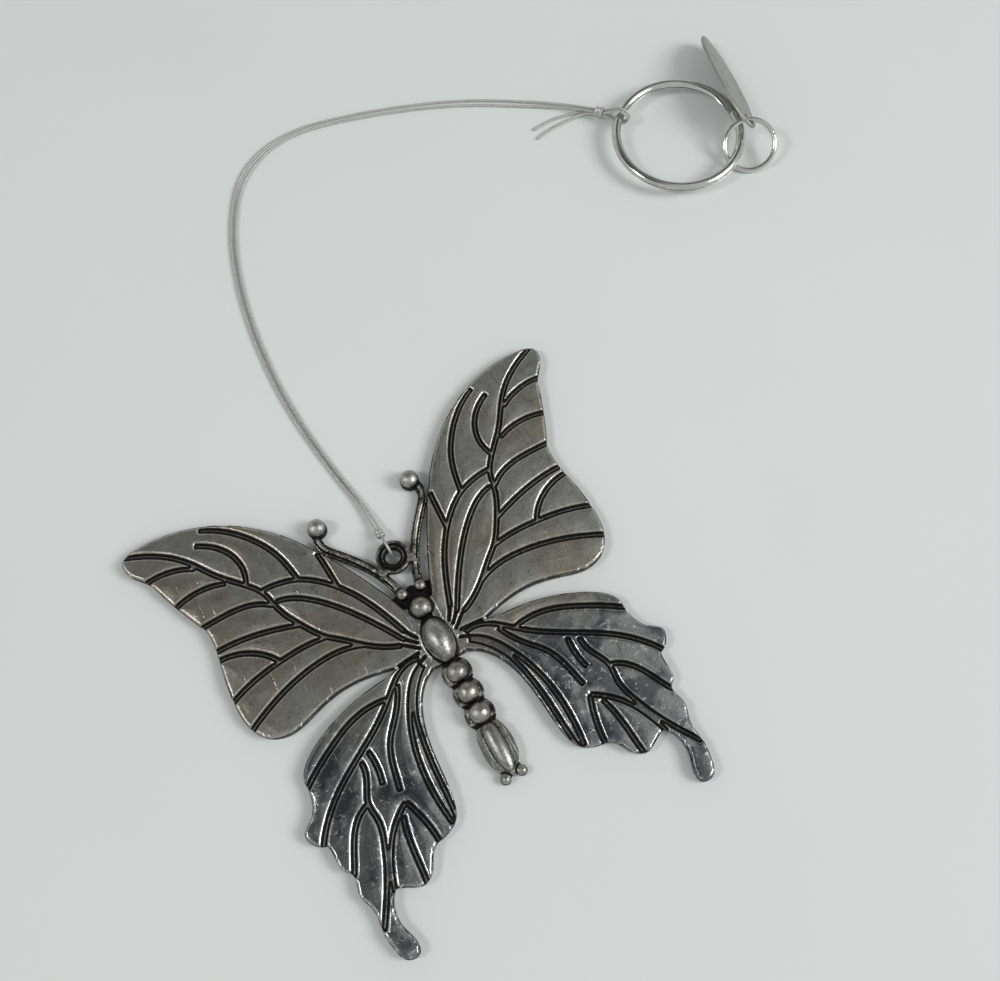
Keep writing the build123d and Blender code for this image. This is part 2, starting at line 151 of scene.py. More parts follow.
class Recipe:
    """The nodes of one material or of the world."""

    def __init__(self, owner: bpy.types.Material | bpy.types.World) -> None:
        """Start an empty node tree.

        Args:
            owner: The material or world that the nodes belong to.
        """
        owner.use_nodes = True
        self.owner = owner
        self.tree = owner.node_tree
        self.tree.nodes.clear()

    @classmethod
    def of_material(cls, name: str) -> "Recipe":
        """Start a new material."""
        return cls(bpy.data.materials.new(name))

    def node(self, kind: str, settings: dict | None = None,
             inputs: dict | None = None) -> bpy.types.Node:
        """Add a node.

        Args:
            kind: The node's type.
            settings: Properties that are set first.
            inputs: Socket name or number to a number, a colour, a Value or a socket.

        Returns:
            The new node.
        """
        made = self.tree.nodes.new(kind)
        for name, value in (settings or {}).items():
            setattr(made, name, value)
        for name, value in (inputs or {}).items():
            socket = made.inputs[name]
            if isinstance(value, Value):
                value = value.socket
            if isinstance(value, bpy.types.NodeSocket):
                self.tree.links.new(value, socket)
            elif isinstance(value, tuple) and socket.type == "RGBA":
                socket.default_value = (*value, 1.0)
            else:
                socket.default_value = value
        return made

    def place(self, scale: Sequence[float] = (1.0, 1.0, 1.0),
              turn: Sequence[float] = (0.0, 0.0, 0.0)) -> bpy.types.NodeSocket:
        """Object coordinates, turned and stretched.

        Args:
            scale: Stretch along X, Y and Z.
            turn: Turn about X, Y and Z, in degrees.

        Returns:
            The vector socket.
        """
        coordinates = self.node("ShaderNodeTexCoord")
        mapping = self.node("ShaderNodeMapping", None, {
            "Vector": coordinates.outputs["Object"],
            "Rotation": tuple(math.radians(a) for a in turn),
            "Scale": tuple(scale)})
        return mapping.outputs["Vector"]

    def speckle(self, per_mm: float, detail: float = 3.0,
                vector: bpy.types.NodeSocket | None = None, rough: float = 0.55) -> Value:
        """Noise with a given number of waves per millimetre.

        Args:
            per_mm: Waves per millimetre.
            detail: Octaves.
            vector: Coordinates, or None for plain object coordinates.
            rough: Share of each finer octave.

        Returns:
            The noise, about 0.5 in the mean.
        """
        made = self.node("ShaderNodeTexNoise", None, {
            "Vector": vector or self.place(), "Scale": per_mm / MM, "Detail": detail,
            "Roughness": rough})
        return Value(self, made.outputs["Fac"])

    def attribute(self, name: str) -> Value:
        """A number stored on the mesh."""
        made = self.node("ShaderNodeAttribute", {"attribute_name": name})
        return Value(self, made.outputs["Fac"])

    def blend(self, share: "Value | float", first: object, second: object) -> bpy.types.NodeSocket:
        """Colour between the first at share 0 and the second at share 1."""
        made = self.node("ShaderNodeMix", {"data_type": "RGBA"}, {0: share, 6: first, 7: second})
        return made.outputs[2]

    def bumps(self, height: Value, depth_mm: float,
              under: bpy.types.NodeSocket | None = None) -> bpy.types.NodeSocket:
        """Normal from a height.

        Args:
            height: The height, from 0 to 1.
            depth_mm: What 1 stands for, in millimetres.
            under: A normal to add to.

        Returns:
            The normal socket.
        """
        inputs: dict = {"Height": height, "Strength": 1.0, "Distance": depth_mm * MM}
        if under is not None:
            inputs["Normal"] = under
        return self.node("ShaderNodeBump", None, inputs).outputs["Normal"]

    def finish(self, inputs: dict) -> bpy.types.Material:
        """Close the recipe with a Principled shader.

        Args:
            inputs: The shader's sockets.

        Returns:
            The material.
        """
        shader = self.node("ShaderNodeBsdfPrincipled", None, inputs)
        self.node("ShaderNodeOutputMaterial", None, {"Surface": shader.outputs[0]})
        return self.owner


# Finishes


@dataclass(frozen=True)
class AntiqueSilver:
    """Tumbled grey casting metal with black patina in its low places."""

    silver: Colour = (0.52, 0.515, 0.475)
    warm: Colour = (0.49, 0.45, 0.37)
    cool: Colour = (0.44, 0.455, 0.475)
    dull: Colour = (0.20, 0.19, 0.165)
    # painted reflection: dark navy of patches that stand in for dark parts of the room mirrored in
    # polished metal
    painted_reflection_navy: Colour = (0.10, 0.108, 0.130)
    # painted glint: near-white colour of flecks that stand in for highlights of the lamps
    painted_glint_white: Colour = (0.85, 0.85, 0.82)
    black: Colour = (0.010, 0.009, 0.008)
    ridge_start: float = 0.33
    ridge_end: float = 0.40
    dent_depth: float = 0.055
    grain_depth: float = 0.034

    def material(self) -> bpy.types.Material:
        """The metal's material.

        Returns:
            A material that reads the mesh's patina, vein, polish and coarse attributes.
        """
        recipe = Recipe.of_material("antique_silver")
        patina = recipe.attribute("patina")
        vein = recipe.attribute("vein")
        polish = recipe.attribute("polish")
        coarse = recipe.attribute("coarse")
        cloud = recipe.speckle(0.07, 4.0)
        island = recipe.speckle(0.17, 3.0, rough=0.6)
        blotch = recipe.speckle(0.45, 3.0, rough=0.65)
        grain = recipe.speckle(2.6, 4.0, rough=0.8)
        pits = recipe.speckle(5.0, 2.0)
        fleck = recipe.speckle(1.3, 3.0, rough=0.75)
        scratch_a = recipe.speckle(2.2, 2.0, recipe.place((1.0, 0.04, 1.0), (0, 0, 32)))
        scratch_b = recipe.speckle(2.6, 2.0, recipe.place((0.05, 1.0, 1.0), (0, 0, -14)))
        scratches = scratch_a.above(0.62, 0.72).at_least(scratch_b.above(0.63, 0.73))
        ridge = vein.above(self.ridge_start, self.ridge_end) * grain.above(0.30, 0.55)
        uneven = (grain - 0.5) * 0.45 + (blotch - 0.5) * coarse * 0.9
        soot = (patina + uneven).above(0.32, 0.62)
        dirt = soot * (1.0 - ridge * 0.55)
        stain = (pits + (blotch - 0.5) * 0.5).above(0.60, 0.76) * 0.8 * (1.0 - polish * 0.5)
        # Painted glints: near-white flecks, strongest on the polished hindwings, that stand in for
        # highlights of the lamps
        shine = fleck.above(0.56, 0.63) * blotch.above(0.46, 0.56) * (polish * 0.85 + 0.15)
        mottle = (blotch * 0.35 + grain * 0.9 - 0.12).above(0.40, 0.60)
        worn = recipe.blend(cloud.above(0.46, 0.60), self.silver, self.warm)
        cooled = recipe.blend(polish * 0.8, worn, self.cool)
        toned = recipe.blend(mottle * (coarse * 0.25 + 0.40), cooled, self.dull)
        # Painted reflections: dark navy patches on the polished hindwings, standing in for the
        # dark room mirrored in the metal
        with_painted_reflections = recipe.blend(island.above(0.47, 0.56) * polish * 0.72, toned, self.painted_reflection_navy)
        with_painted_glints = recipe.blend(shine, with_painted_reflections, self.painted_glint_white)
        height = ((grain * (coarse * 1.2 + 0.6) - scratches * 0.35 + pits * 0.25)
                  * (1.0 - polish * 0.4))
        return recipe.finish({
            "Base Color": recipe.blend(dirt.at_least(stain), with_painted_glints, self.black),
            "Metallic": 1.0 - dirt * 0.25,
            "Roughness": (0.27 - polish * 0.09 + grain * 0.12 + dirt * 0.22
                          - scratches * 0.08),
            "Normal": recipe.bumps(height, self.grain_depth,
                                   recipe.bumps(blotch, self.dent_depth))})


@dataclass(frozen=True)
class BrightSteel:
    """Plated wire with a soft mirror shine."""

    steel: Colour = (0.72, 0.715, 0.69)
    smeared: Colour = (0.48, 0.47, 0.44)
    hair_depth: float = 0.003

    def material(self) -> bpy.types.Material:
        """The plating's material.

        Returns:
            A material with smears and hairlines.
        """
        recipe = Recipe.of_material("bright_steel")
        smear = recipe.speckle(0.35, 3.0)
        hair = recipe.speckle(3.0, 3.0)
        return recipe.finish({
            "Base Color": recipe.blend(smear.above(0.4, 0.65) * 0.4, self.steel, self.smeared),
            "Metallic": 1.0, "Roughness": 0.09 + smear * 0.08 + hair * 0.04,
            "Normal": recipe.bumps(hair, self.hair_depth)})


@dataclass(frozen=True)
class DullSteel:
    """Tumbled thin sheet with fine marks."""

    steel: Colour = (0.46, 0.455, 0.44)
    marked: Colour = (0.30, 0.29, 0.27)
    mark_depth: float = 0.010

    def material(self) -> bpy.types.Material:
        """The sheet's material.

        Returns:
            A material with clouds, grain and nicks.
        """
        recipe = Recipe.of_material("dull_steel")
        cloud = recipe.speckle(0.3, 4.0)
        grain = recipe.speckle(4.0, 4.0)
        nicks = recipe.speckle(1.2, 2.0).above(0.62, 0.7)
        return recipe.finish({
            "Base Color": recipe.blend(cloud.above(0.35, 0.7) * 0.6 + nicks * 0.3,
                                       self.steel, self.marked),
            "Metallic": 1.0, "Roughness": 0.38 + grain * 0.14,
            "Normal": recipe.bumps(grain * 0.6 - nicks * 0.4, self.mark_depth)})


@dataclass(frozen=True)
class MetallicThread:
    """Fine twisted thread with a silvery film."""

    film: Colour = (0.60, 0.60, 0.585)
    core: Colour = (0.30, 0.295, 0.28)
    fleck_depth: float = 0.02

    def material(self) -> bpy.types.Material:
        """The thread's material.

        Returns:
            A material with flecks where the film is worn.
        """
        recipe = Recipe.of_material("metallic_thread")
        fleck = recipe.speckle(5.0, 3.0)
        cloud = recipe.speckle(0.8, 2.0)
        return recipe.finish({
            "Base Color": recipe.blend(fleck.above(0.42, 0.66) * 0.7, self.film, self.core),
            "Metallic": 0.55 + cloud * 0.3, "Roughness": 0.30 + fleck * 0.25,
            "Normal": recipe.bumps(fleck, self.fleck_depth)})


@dataclass(frozen=True)
class Paper:
    """Plain pale paper that the ornament lies on."""

    white: Colour = (0.75, 0.77, 0.76)
    grey: Colour = (0.71, 0.73, 0.73)
    fibre_depth: float = 0.01

    def material(self) -> bpy.types.Material:
        """The paper's material.

        Returns:
            A matt material with a faint cloud and fibres.
        """
        recipe = Recipe.of_material("pale_paper")
        sheen = recipe.speckle(0.012, 3.0)
        fibre = recipe.speckle(1.5, 3.0)
        return recipe.finish({
            "Base Color": recipe.blend(sheen.above(0.3, 0.7) * 0.35, self.white, self.grey),
            "Roughness": 0.85, "Normal": recipe.bumps(fibre, self.fibre_depth)})


# Helpers for pieces


def linked(name: str, data: bpy.types.ID) -> bpy.types.Object:
    """Link a new object into the scene.

    Args:
        name: The object's name.
        data: Its mesh, lamp or camera.

    Returns:
        The object.
    """
    made = bpy.data.objects.new(name, data)
    bpy.context.scene.collection.objects.link(made)
    return made


def piece(name: str, mesh: bpy.types.Mesh, material: bpy.types.Material, body: str,
          nodes: Iterable[str]) -> bpy.types.Object:
    """Link a finished mesh into the scene and tie it to the frame.

    Args:
        name: The piece's name.
        mesh: Its mesh, in metres, in the row frame.
        material: Its finish.
        body: The CAD body that it rides on.
        nodes: CAD nodes that it stands for.

    Returns:
        The piece's object.
    """
    made = linked(name, mesh)
    mesh.materials.clear()
    mesh.materials.append(material)
    mesh.shade_smooth()
    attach(made, body)
    for node in nodes:
        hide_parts(node)
    log.info("%s: %d faces", name, len(mesh.polygons))
    return made


def everything(bm: bmesh.types.BMesh) -> list:
    """All points, edges and faces of a bmesh."""
    return list(bm.verts) + list(bm.edges) + list(bm.faces)


def spin(bm: bmesh.types.BMesh, geom: list, degrees: float, steps: int, climb: float = 0.0,
         axis: Vector = UP, merge: bool = False) -> list:
    """Spin a section about an axis through the origin.

    Args:
        bm: The bmesh.
        geom: The section's geometry.
        degrees: The whole turn.
        steps: Number of steps.
        climb: Rise along the axis in each step.
        axis: The axis.
        merge: Whether a full turn closes on itself.

    Returns:
        The geometry of the last step.
    """
    return bmesh.ops.spin(bm, geom=geom, cent=(0, 0, 0), axis=axis, dvec=axis * climb,
                          angle=math.radians(degrees), steps=steps, use_merge=merge,
                          use_normal_flip=False, use_duplicate=False)["geom_last"]


def mesh_from(bm: bmesh.types.BMesh, name: str, place: Matrix | None = None,
              merge: float = 0.0005) -> bpy.types.Mesh:
    """Turn a bmesh drawn in millimetres into a mesh in metres.

    Args:
        bm: The bmesh, which is freed.
        name: The mesh's name.
        place: Where its drawing goes, in millimetres.
        merge: Points closer than this become one.

    Returns:
        The mesh.
    """
    bmesh.ops.remove_doubles(bm, verts=bm.verts, dist=merge)
    bmesh.ops.recalc_face_normals(bm, faces=bm.faces)
    bmesh.ops.transform(bm, matrix=Matrix.Scale(MM, 4) @ (place or Matrix.Identity(4)),
                        verts=bm.verts)
    mesh = bpy.data.meshes.new(name)
    bm.to_mesh(mesh)
    bm.free()
    return mesh


def search_tree(polygons: list[list[Vector]]) -> BVHTree:
    """Search tree of loose polygons, each given by its corners."""
    numbers = iter(range(sum(map(len, polygons))))
    return BVHTree.FromPolygons([corner for corners in polygons for corner in corners],
                                [[next(numbers) for _ in corners] for corners in polygons])


# Casting


class Region(Enum):
    """The pieces that the casting's skin is cut into."""

    BODY = "casting_body"
    FORE_LEFT = "casting_forewing_left"
    FORE_RIGHT = "casting_forewing_right"
    HIND_LEFT = "casting_hindwing_left"
    HIND_RIGHT = "casting_hindwing_right"


SIDE = 2.7
SLANT = 0.072
NOTCH = (0.0, -0.1, 0.0)
REGION_PLANES = {
    Region.BODY: (((SIDE, 0, 0), (1, 0, 0)), ((-SIDE, 0, 0), (-1, 0, 0))),
    Region.FORE_LEFT: (((-SIDE, 0, 0), (1, 0, 0)), (NOTCH, (SLANT, -1, 0))),
    Region.FORE_RIGHT: (((SIDE, 0, 0), (-1, 0, 0)), (NOTCH, (-SLANT, -1, 0))),
    Region.HIND_LEFT: (((-SIDE, 0, 0), (1, 0, 0)), (NOTCH, (-SLANT, 1, 0))),
    Region.HIND_RIGHT: (((SIDE, 0, 0), (-1, 0, 0)), (NOTCH, (SLANT, 1, 0)))}


@dataclass
class Casting:
    """The cast butterfly: flat panels, rounded rims, and ridged veins full of patina.

    Places on it are given from the middle outwards, then along the body, for both sides.
    """

    finish: AntiqueSilver
    # Skin and cuts
    plate_top: float = 1.8
    groove_floor: float = 1.3
    back_zone: float = 0.1
    wall_lean: float = 0.2
    snap: float = 0.02
    voxel: float = 0.13
    quick_voxel_share: float = 1.5
    cad_merge_m: float = 1e-7
    flat: float = 1e-6
    cut_snap: float = 1e-5
    cut_merge: float = 0.004
    # Which points are the wings' top
    below_floor: float = 0.15
    above_plate: float = 0.12
    body_half_width: float = SIDE
    body_overlap: float = 0.6
    balls_from: float = 24.0
    turned_down: float = -0.3
    out_of_reach: float = 9.0
    search: float = 2.5
    rim_search_height: float = 1.0
    panel_heights: Pair = (1.42, 1.70)
    hind_places: Pair = (0.5, 9.0)
    # Relief
    shoulder_drop: float = 0.09
    shoulder_width: float = 0.14
    hind_widening: float = 0.45
    rim_drop: float = 0.30
    rim_width: float = 0.20
    crown: float = 0.13
    crown_width: float = 1.3
    wave: float = 0.11
    wave_edge: float = 1.2
    wave_parts: tuple = ((0.10, 4.0, 1.0), (0.38, 9.0, 0.45))
    ridge_rise: float = 0.24
    ridge_start: float = 0.24
    ridge_end: float = 0.40
    streak: tuple = (5.4, 4.3, 12.0, 12.6)
    streak_width: float = 0.20
    streak_reach: float = 0.9
    line_core_share: float = 0.35
    creases: tuple = ((3.9, 4.2, 2.75, 2.3), (4.4, 3.0, 3.0, 1.6), (5.2, 2.5, 3.1, 0.7),
                      (4.2, -1.2, 3.0, -0.8), (7.0, -0.1, 3.6, 0.2))
    crease_width: float = 0.42
    crease_depth: float = 0.42
    least_height: float = 0.06
    # Thorax, drawn in at its sides, and the webs beside the head
    thorax_middle: float = 0.3
    thorax_reach: float = 4.2
    thorax_half_width: float = 3.0
    thorax_heights: Pair = (1.9, 2.5)
    thorax_squeeze: float = 0.11
    thorax_taper: float = 0.16
    taper_places: Pair = (-1.0, 3.2)
    web: tuple = ((0.9, 6.6), (2.45, 6.6), (3.1, 7.7), (3.8, 9.25), (2.55, 9.7), (0.9, 9.2))
    web_height: float = 1.05
    # Patina of the wings
    body_polish: float = 0.25
    open_panel_share: float = 0.9
    wall_from: float = 3.0
    wall_top: float = 1.9
    wall_normal: float = 0.35
    wall_soot: float = 0.56
    hind_wall_fade: float = 0.14
    coarse_half_width: float = 2.6
    # Patina round the domes: each has its place, half width and half length
    domes: tuple = ((0.0, 0.3, 2.15, 3.5), (0.0, 6.1, 1.65, 1.65), (1.5, 9.2, 0.9, 0.9),
                    (0.0, -5.15, 1.6, 1.6), (0.0, -8.62, 1.6, 1.6), (0.0, -12.09, 1.6, 1.6),
                    (0.0, -17.4, 1.4, 4.2), (1.35, -22.1, 0.8, 0.8), (8.15, 25.3, 1.5, 1.5))
    dome_feet: Pair = (2.0, 2.5)
    dome_start_share: float = 0.94
    dome_edge: float = 0.10
    dome_shadow: float = 0.62
    dome_soot: float = 0.85
    joint_soot: float = 0.50
    joints_from: float = -4.0
    steep_normals: Pair = (0.3, 0.7)
    gaps: tuple = (-3.35, -6.88, -10.35, -13.6)
    gap_width: float = 0.45
    gap_half_length: float = 2.4
    side_half_width: float = 2.6
    side_from: float = -3.0
    side_soot: float = 0.55
    # Patina of the hanging eye: its place, hole, rim and step
    eye: tuple = (15.2, 1.2, 2.65, 1.95)
    eye_edge: float = 0.1
    eye_groove_width: float = 0.24
    eye_inside: Pair = (0.25, 0.4)
    eye_soot: float = 0.48
    eye_groove_soot: float = 0.45
    eye_wall_soot: float = 0.4
    eye_inside_soot: float = 0.3
    # Antennae and neck: start, reach, slope and rise of each line; reach, start and end
    ball: tuple = (8.15, 25.3, 1.8)
    stem_lines: tuple = ((9.3, 9.9, 1.87, 5.2), (9.0, 2.9, 0.9, 8.0))
    stem_top: float = 1.75
    stem_soot: float = 0.45
    stem_wall_soot: float = 0.5
    necks: tuple = ((3.9, 6.4, 10.4), (2.6, 3.0, 6.5))
    neck_top: float = 1.5
    # Hollows: the rays' tilt and number, and how they count
    ray_rings: tuple = ((35.0, 3), (66.0, 6))
    ray_offset: float = 0.37
    ray_start: float = 0.03
    ray_reach: float = 1.1
    ray_grazing: float = 0.05
    grazing_share: float = 0.25
    hollow_fade_share: float = 0.6
    hollow_gain: float = 1.15
    hollow_from: float = 0.12
    open_from: float = 12.0
    open_normal: float = 0.5

    def copy_of(self, node: bpy.types.Object) -> bmesh.types.BMesh:
        """Copy the CAD node.

        Args:
            node: The node's object.

        Returns:
            Its mesh, merged, in millimetres.
        """
        bm = bmesh.new()
        bm.from_mesh(node.data)
        bmesh.ops.remove_doubles(bm, verts=bm.verts, dist=self.cad_merge_m)
        bmesh.ops.transform(bm, matrix=Matrix.Scale(1 / MM, 4), verts=bm.verts)
        return bm

    def walls(self, bm: bmesh.types.BMesh) -> tuple[BVHTree, BVHTree]:
        """Find the upright walls of the veins and of the outline.

        Args:
            bm: The merged copy.

        Returns:
            A search tree of the veins' walls and one of the outline's.
        """
        veins: list = []
        rims: list = []
        for face in bm.faces:
            if abs(face.normal.z) > self.wall_lean:
                continue
            heights = [v.co.z for v in face.verts]
            corners = [v.co.copy() for v in face.verts]
            if (min(heights) > self.groove_floor - self.snap
                    and max(heights) < self.plate_top + self.snap):
                veins.append(corners)
            elif min(heights) < self.back_zone:
                rims.append(corners)
        return search_tree(veins), search_tree(rims)

    def webs(self, bm: bmesh.types.BMesh) -> None:
        """Fill the narrow foot of the gaps between the head and the forewings.

        Args:
            bm: The merged copy, in millimetres.
        """
        # The fill is painted near black by the neck patina in body_soot: partly patina, partly
        # painted shade of the deep gaps
        for side in (-1.0, 1.0):
            corners = [bm.verts.new((side * x, y, 0.0)) for x, y in self.web]
            made = bmesh.ops.contextual_create(bm, geom=corners)["faces"]
            grown = bmesh.ops.extrude_face_region(bm, geom=made)["geom"]
            moved = [v for v in grown if isinstance(v, bmesh.types.BMVert)]
            bmesh.ops.translate(bm, vec=(0, 0, self.web_height), verts=moved)
            island = list({f for v in corners + moved for f in v.link_faces})
            bmesh.ops.recalc_face_normals(bm, faces=island)

    def skin(self, bm: bmesh.types.BMesh) -> bpy.types.Mesh:
        """Voxel skin of the copy.

        Args:
            bm: The merged copy, which is freed.

        Returns:
            An even mesh, in millimetres.
        """
        raw = bpy.data.meshes.new("casting_raw")
        bm.to_mesh(raw)
        bm.free()
        holder = linked("casting_raw", raw)
        modifier = holder.modifiers.new("skin", "REMESH")
        modifier.mode = "VOXEL"
        modifier.voxel_size = self.voxel * 1.0
        bpy.context.view_layer.update()
        graph = bpy.context.evaluated_depsgraph_get()
        mesh = bpy.data.meshes.new_from_object(holder.evaluated_get(graph))
        bpy.data.objects.remove(holder)
        bpy.data.meshes.remove(raw)
        return mesh

    def read(self, mesh: bpy.types.Mesh, name: str) -> np.ndarray:
        """Read the points or the normals of a mesh.

        Args:
            mesh: The mesh.
            name: What is read: co or normal.

        Returns:
            A row of three numbers for each point.
        """
        rows = np.zeros(len(mesh.vertices) * 3, np.float32)
        mesh.vertices.foreach_get(name, rows)
        return rows.reshape(-1, 3)

    def store(self, mesh: bpy.types.Mesh, name: str, values: np.ndarray) -> None:
        """Keep one number for each point of a mesh."""
        made = mesh.attributes.new(name, "FLOAT", "POINT")
        made.data.foreach_set("value", values.astype(np.float32))

    def distances(self, points: np.ndarray, top: np.ndarray, tree: BVHTree,
                  level: float | None = None) -> np.ndarray:
        """How far points lie from the nearest wall, seen from above.

        Args:
            points: The skin's points, in millimetres.
            top: Which of them to look from.
            tree: Search tree of the walls.
            level: Height to look from, or None for the point's own.

        Returns:
            A distance for each point.
        """
        away = np.full(len(points), self.out_of_reach)
        for i in np.nonzero(top)[0]:
            here = Vector(points[i])
            eye = here if level is None else Vector((here.x, here.y, level))
            found = tree.find_nearest(eye, self.search)[0]
            if found is not None:
                away[i] = math.hypot(found.x - here.x, found.y - here.y)
        return away

    def waves(self, points: np.ndarray) -> np.ndarray:
        """Slow unevenness of the panels, a number for each point."""
        return sum(share * np.array([noise.noise(Vector((p[0] * per_mm, p[1] * per_mm, level)))
                                     for p in points])
                   for per_mm, level, share in self.wave_parts)

    def beside(self, points: np.ndarray, line: Sequence[float], reach: float) -> np.ndarray:
        """How near each point lies to a line on either wing.

        Args:
            points: The skin's points, in millimetres.
            line: The line's start and end.
            reach: How far from the line the share falls to 0.

        Returns:
            A share for each point, 1 on the line.
        """
        across, along = np.abs(points[:, 0]), points[:, 1]
        x0, y0, x1, y1 = line
        dx, dy = x1 - x0, y1 - y0
        held = np.clip(((across - x0) * dx + (along - y0) * dy) / (dx * dx + dy * dy), 0.0, 1.0)
        off = np.hypot(across - x0 - held * dx, along - y0 - held * dy)
        return 1.0 - smooth_share(off, self.line_core_share * reach, reach)

    def draw_in(self, points: np.ndarray) -> None:
        """Draw in the sides of the thorax.

        Args:
            points: The skin's points, which are moved.
        """
        dome = smooth_share(points[:, 2], *self.thorax_heights) * (
            np.abs(points[:, 1] - self.thorax_middle) < self.thorax_reach)
        taper = self.thorax_squeeze + self.thorax_taper * smooth_share(
            -points[:, 1], *self.taper_places)
        inside = np.abs(points[:, 0]) < self.thorax_half_width
        points[:, 0] *= 1.0 - dome * np.where(inside, taper, 0.0)

    def relief(self, mesh: bpy.types.Mesh, veins: BVHTree, rims: BVHTree) -> None:
        """Raise ridges, crown panels and round rims, and store what the finish reads.

        Args:
            mesh: The skin, in millimetres.
            veins: Search tree of the veins' walls.
            rims: Search tree of the outline's walls.
        """
        points = self.read(mesh, "co")
        normals = self.read(mesh, "normal")
        height = points[:, 2]
        top = ((height > self.groove_floor - self.below_floor)
               & (height < self.plate_top + self.above_plate))
        top &= ((np.abs(points[:, 0]) > self.body_half_width - self.body_overlap)
                | (points[:, 1] > self.balls_from))
        top &= normals[:, 2] > self.turned_down
        to_vein = self.distances(points, top, veins)
        to_rim = self.distances(points, top, rims, self.rim_search_height)
        near = np.minimum(to_vein, to_rim)
        panel = smooth_share(height, *self.panel_heights)
        hind = smooth_share(-points[:, 1], *self.hind_places)
        wide = self.shoulder_width * (1.0 + self.hind_widening * hind)
        wide = wide + self.streak_width * self.beside(points, self.streak, self.streak_reach)
        ridge = (1.0 - panel) * smooth_share(to_vein, self.ridge_start, self.ridge_end)
        crease = panel * np.max([self.beside(points, line, self.crease_width)
                                 for line in self.creases], axis=0)
        lift = panel * self.crown * (1.0 - np.exp(-near / self.crown_width))
        lift -= panel * self.shoulder_drop * np.exp(-((to_vein / wide) ** 2))
        lift += self.ridge_rise * ridge
        lift -= self.rim_drop * np.exp(-((to_rim / self.rim_width) ** 2)) * panel
        lift -= self.crease_depth * crease
        lift += panel * self.wave * self.waves(points) * smooth_share(near, 0.0, self.wave_edge)
        # Height is a view of the points, so it holds the new heights from here on
        points[:, 2] += np.where(top, lift, 0.0)
        self.draw_in(points)
        points[height < self.least_height, 2] = 0.0
        mesh.vertices.foreach_set("co", points.ravel())
        mesh.update()
        across = np.abs(points[:, 0])
        # Polish lowers the roughness and also sets where the painted glints and painted reflection
        # patches go
        self.store(mesh, "polish", np.where(across > self.body_half_width, hind,
                                            self.body_polish))
        self.store(mesh, "vein", np.where(top, to_vein * (1.0 - panel), 0.0))
        soot = np.maximum(np.where(top, np.maximum(1.0 - panel, crease), 0.0),
                          self.hollows(mesh, top & (panel > self.open_panel_share)))
        wall = (across > self.wall_from) & (normals[:, 2] < self.wall_normal)
        wall &= (height > self.back_zone) & (height < self.wall_top)
        soot = np.maximum(soot, np.where(wall, self.wall_soot - self.hind_wall_fade * hind, 0.0))
        self.store(mesh, "patina", np.maximum(soot, self.body_soot(points, normals)))
        rough = (across < self.coarse_half_width) | self.stems(points)
        self.store(mesh, "coarse", np.where(rough, 1.0, 0.0))

    def stems(self, points: np.ndarray) -> np.ndarray:
        """Which points lie on the antennae, the head or the eye.

        Args:
            points: The skin's points, in millimetres.

        Returns:
            True or False for each point.
        """
        across, along = np.abs(points[:, 0]), points[:, 1]
        x, y, radius = self.ball
        found = np.hypot(across - x, along - y) < radius
        for start, reach, slope, rise in self.stem_lines:
            found |= (along > start) & (across < reach) & (along > slope * across + rise)
        return found

    def body_soot(self, points: np.ndarray, normals: np.ndarray) -> np.ndarray:
        """Patina round the body's domes, on the hanging eye and beside the antennae.

        Args:
            points: The skin's points, in millimetres.
            normals: The skin's normals.

        Returns:
            A share for each point.
        """
        across, along, height = np.abs(points[:, 0]), points[:, 1], points[:, 2]
        low = 1.0 - smooth_share(height, *self.dome_feet)
        wall = 1.0 - smooth_share(normals[:, 2], *self.steep_normals)
        off_back = height > self.back_zone
        parts = []
        for x, y, wide, long in self.domes:
            reach = np.hypot((across - x) / wide, (along - y) / long)
            near = 1.0 - smooth_share((reach - 1.0) * wide, self.dome_edge, self.dome_shadow)
            soot = self.joint_soot if x == 0.0 and y < self.joints_from else self.dome_soot
            parts.append(np.where(reach > self.dome_start_share, soot * near * low, 0.0))
        for y in self.gaps:
            gap = np.exp(-(((along - y) / self.gap_width) ** 2))
            parts.append(gap * (across < self.gap_half_length) * low)
        sides = (across < self.side_half_width) & (along < self.side_from)
        parts.append(np.where(sides, self.side_soot * wall * low, 0.0))
        place, hole, rim, step = self.eye
        off = np.hypot(across, along - place)
        groove = np.exp(-(((off - step) / self.eye_groove_width) ** 2))
        start, end = self.eye_inside
        inside = 1.0 - smooth_share(off, hole + start, hole + end)
        parts.append(np.where((off < rim + self.eye_edge) & off_back,
                              self.eye_soot + self.eye_groove_soot * groove
                              + self.eye_wall_soot * wall + self.eye_inside_soot * inside, 0.0))
        parts.append(np.where(self.stems(points) & off_back & (height < self.stem_top),
                              self.stem_soot + self.stem_wall_soot * wall, 0.0))
        # Neck patches, webs included, painted near black: patina, and painted shade of the deep
        # gaps beside the head
        for reach, start, end in self.necks:
            neck = (across < reach) & (along > start) & (along < end) & (height < self.neck_top)
            parts.append(np.where(neck, self.dome_soot, 0.0))
        return np.max(parts, axis=0)

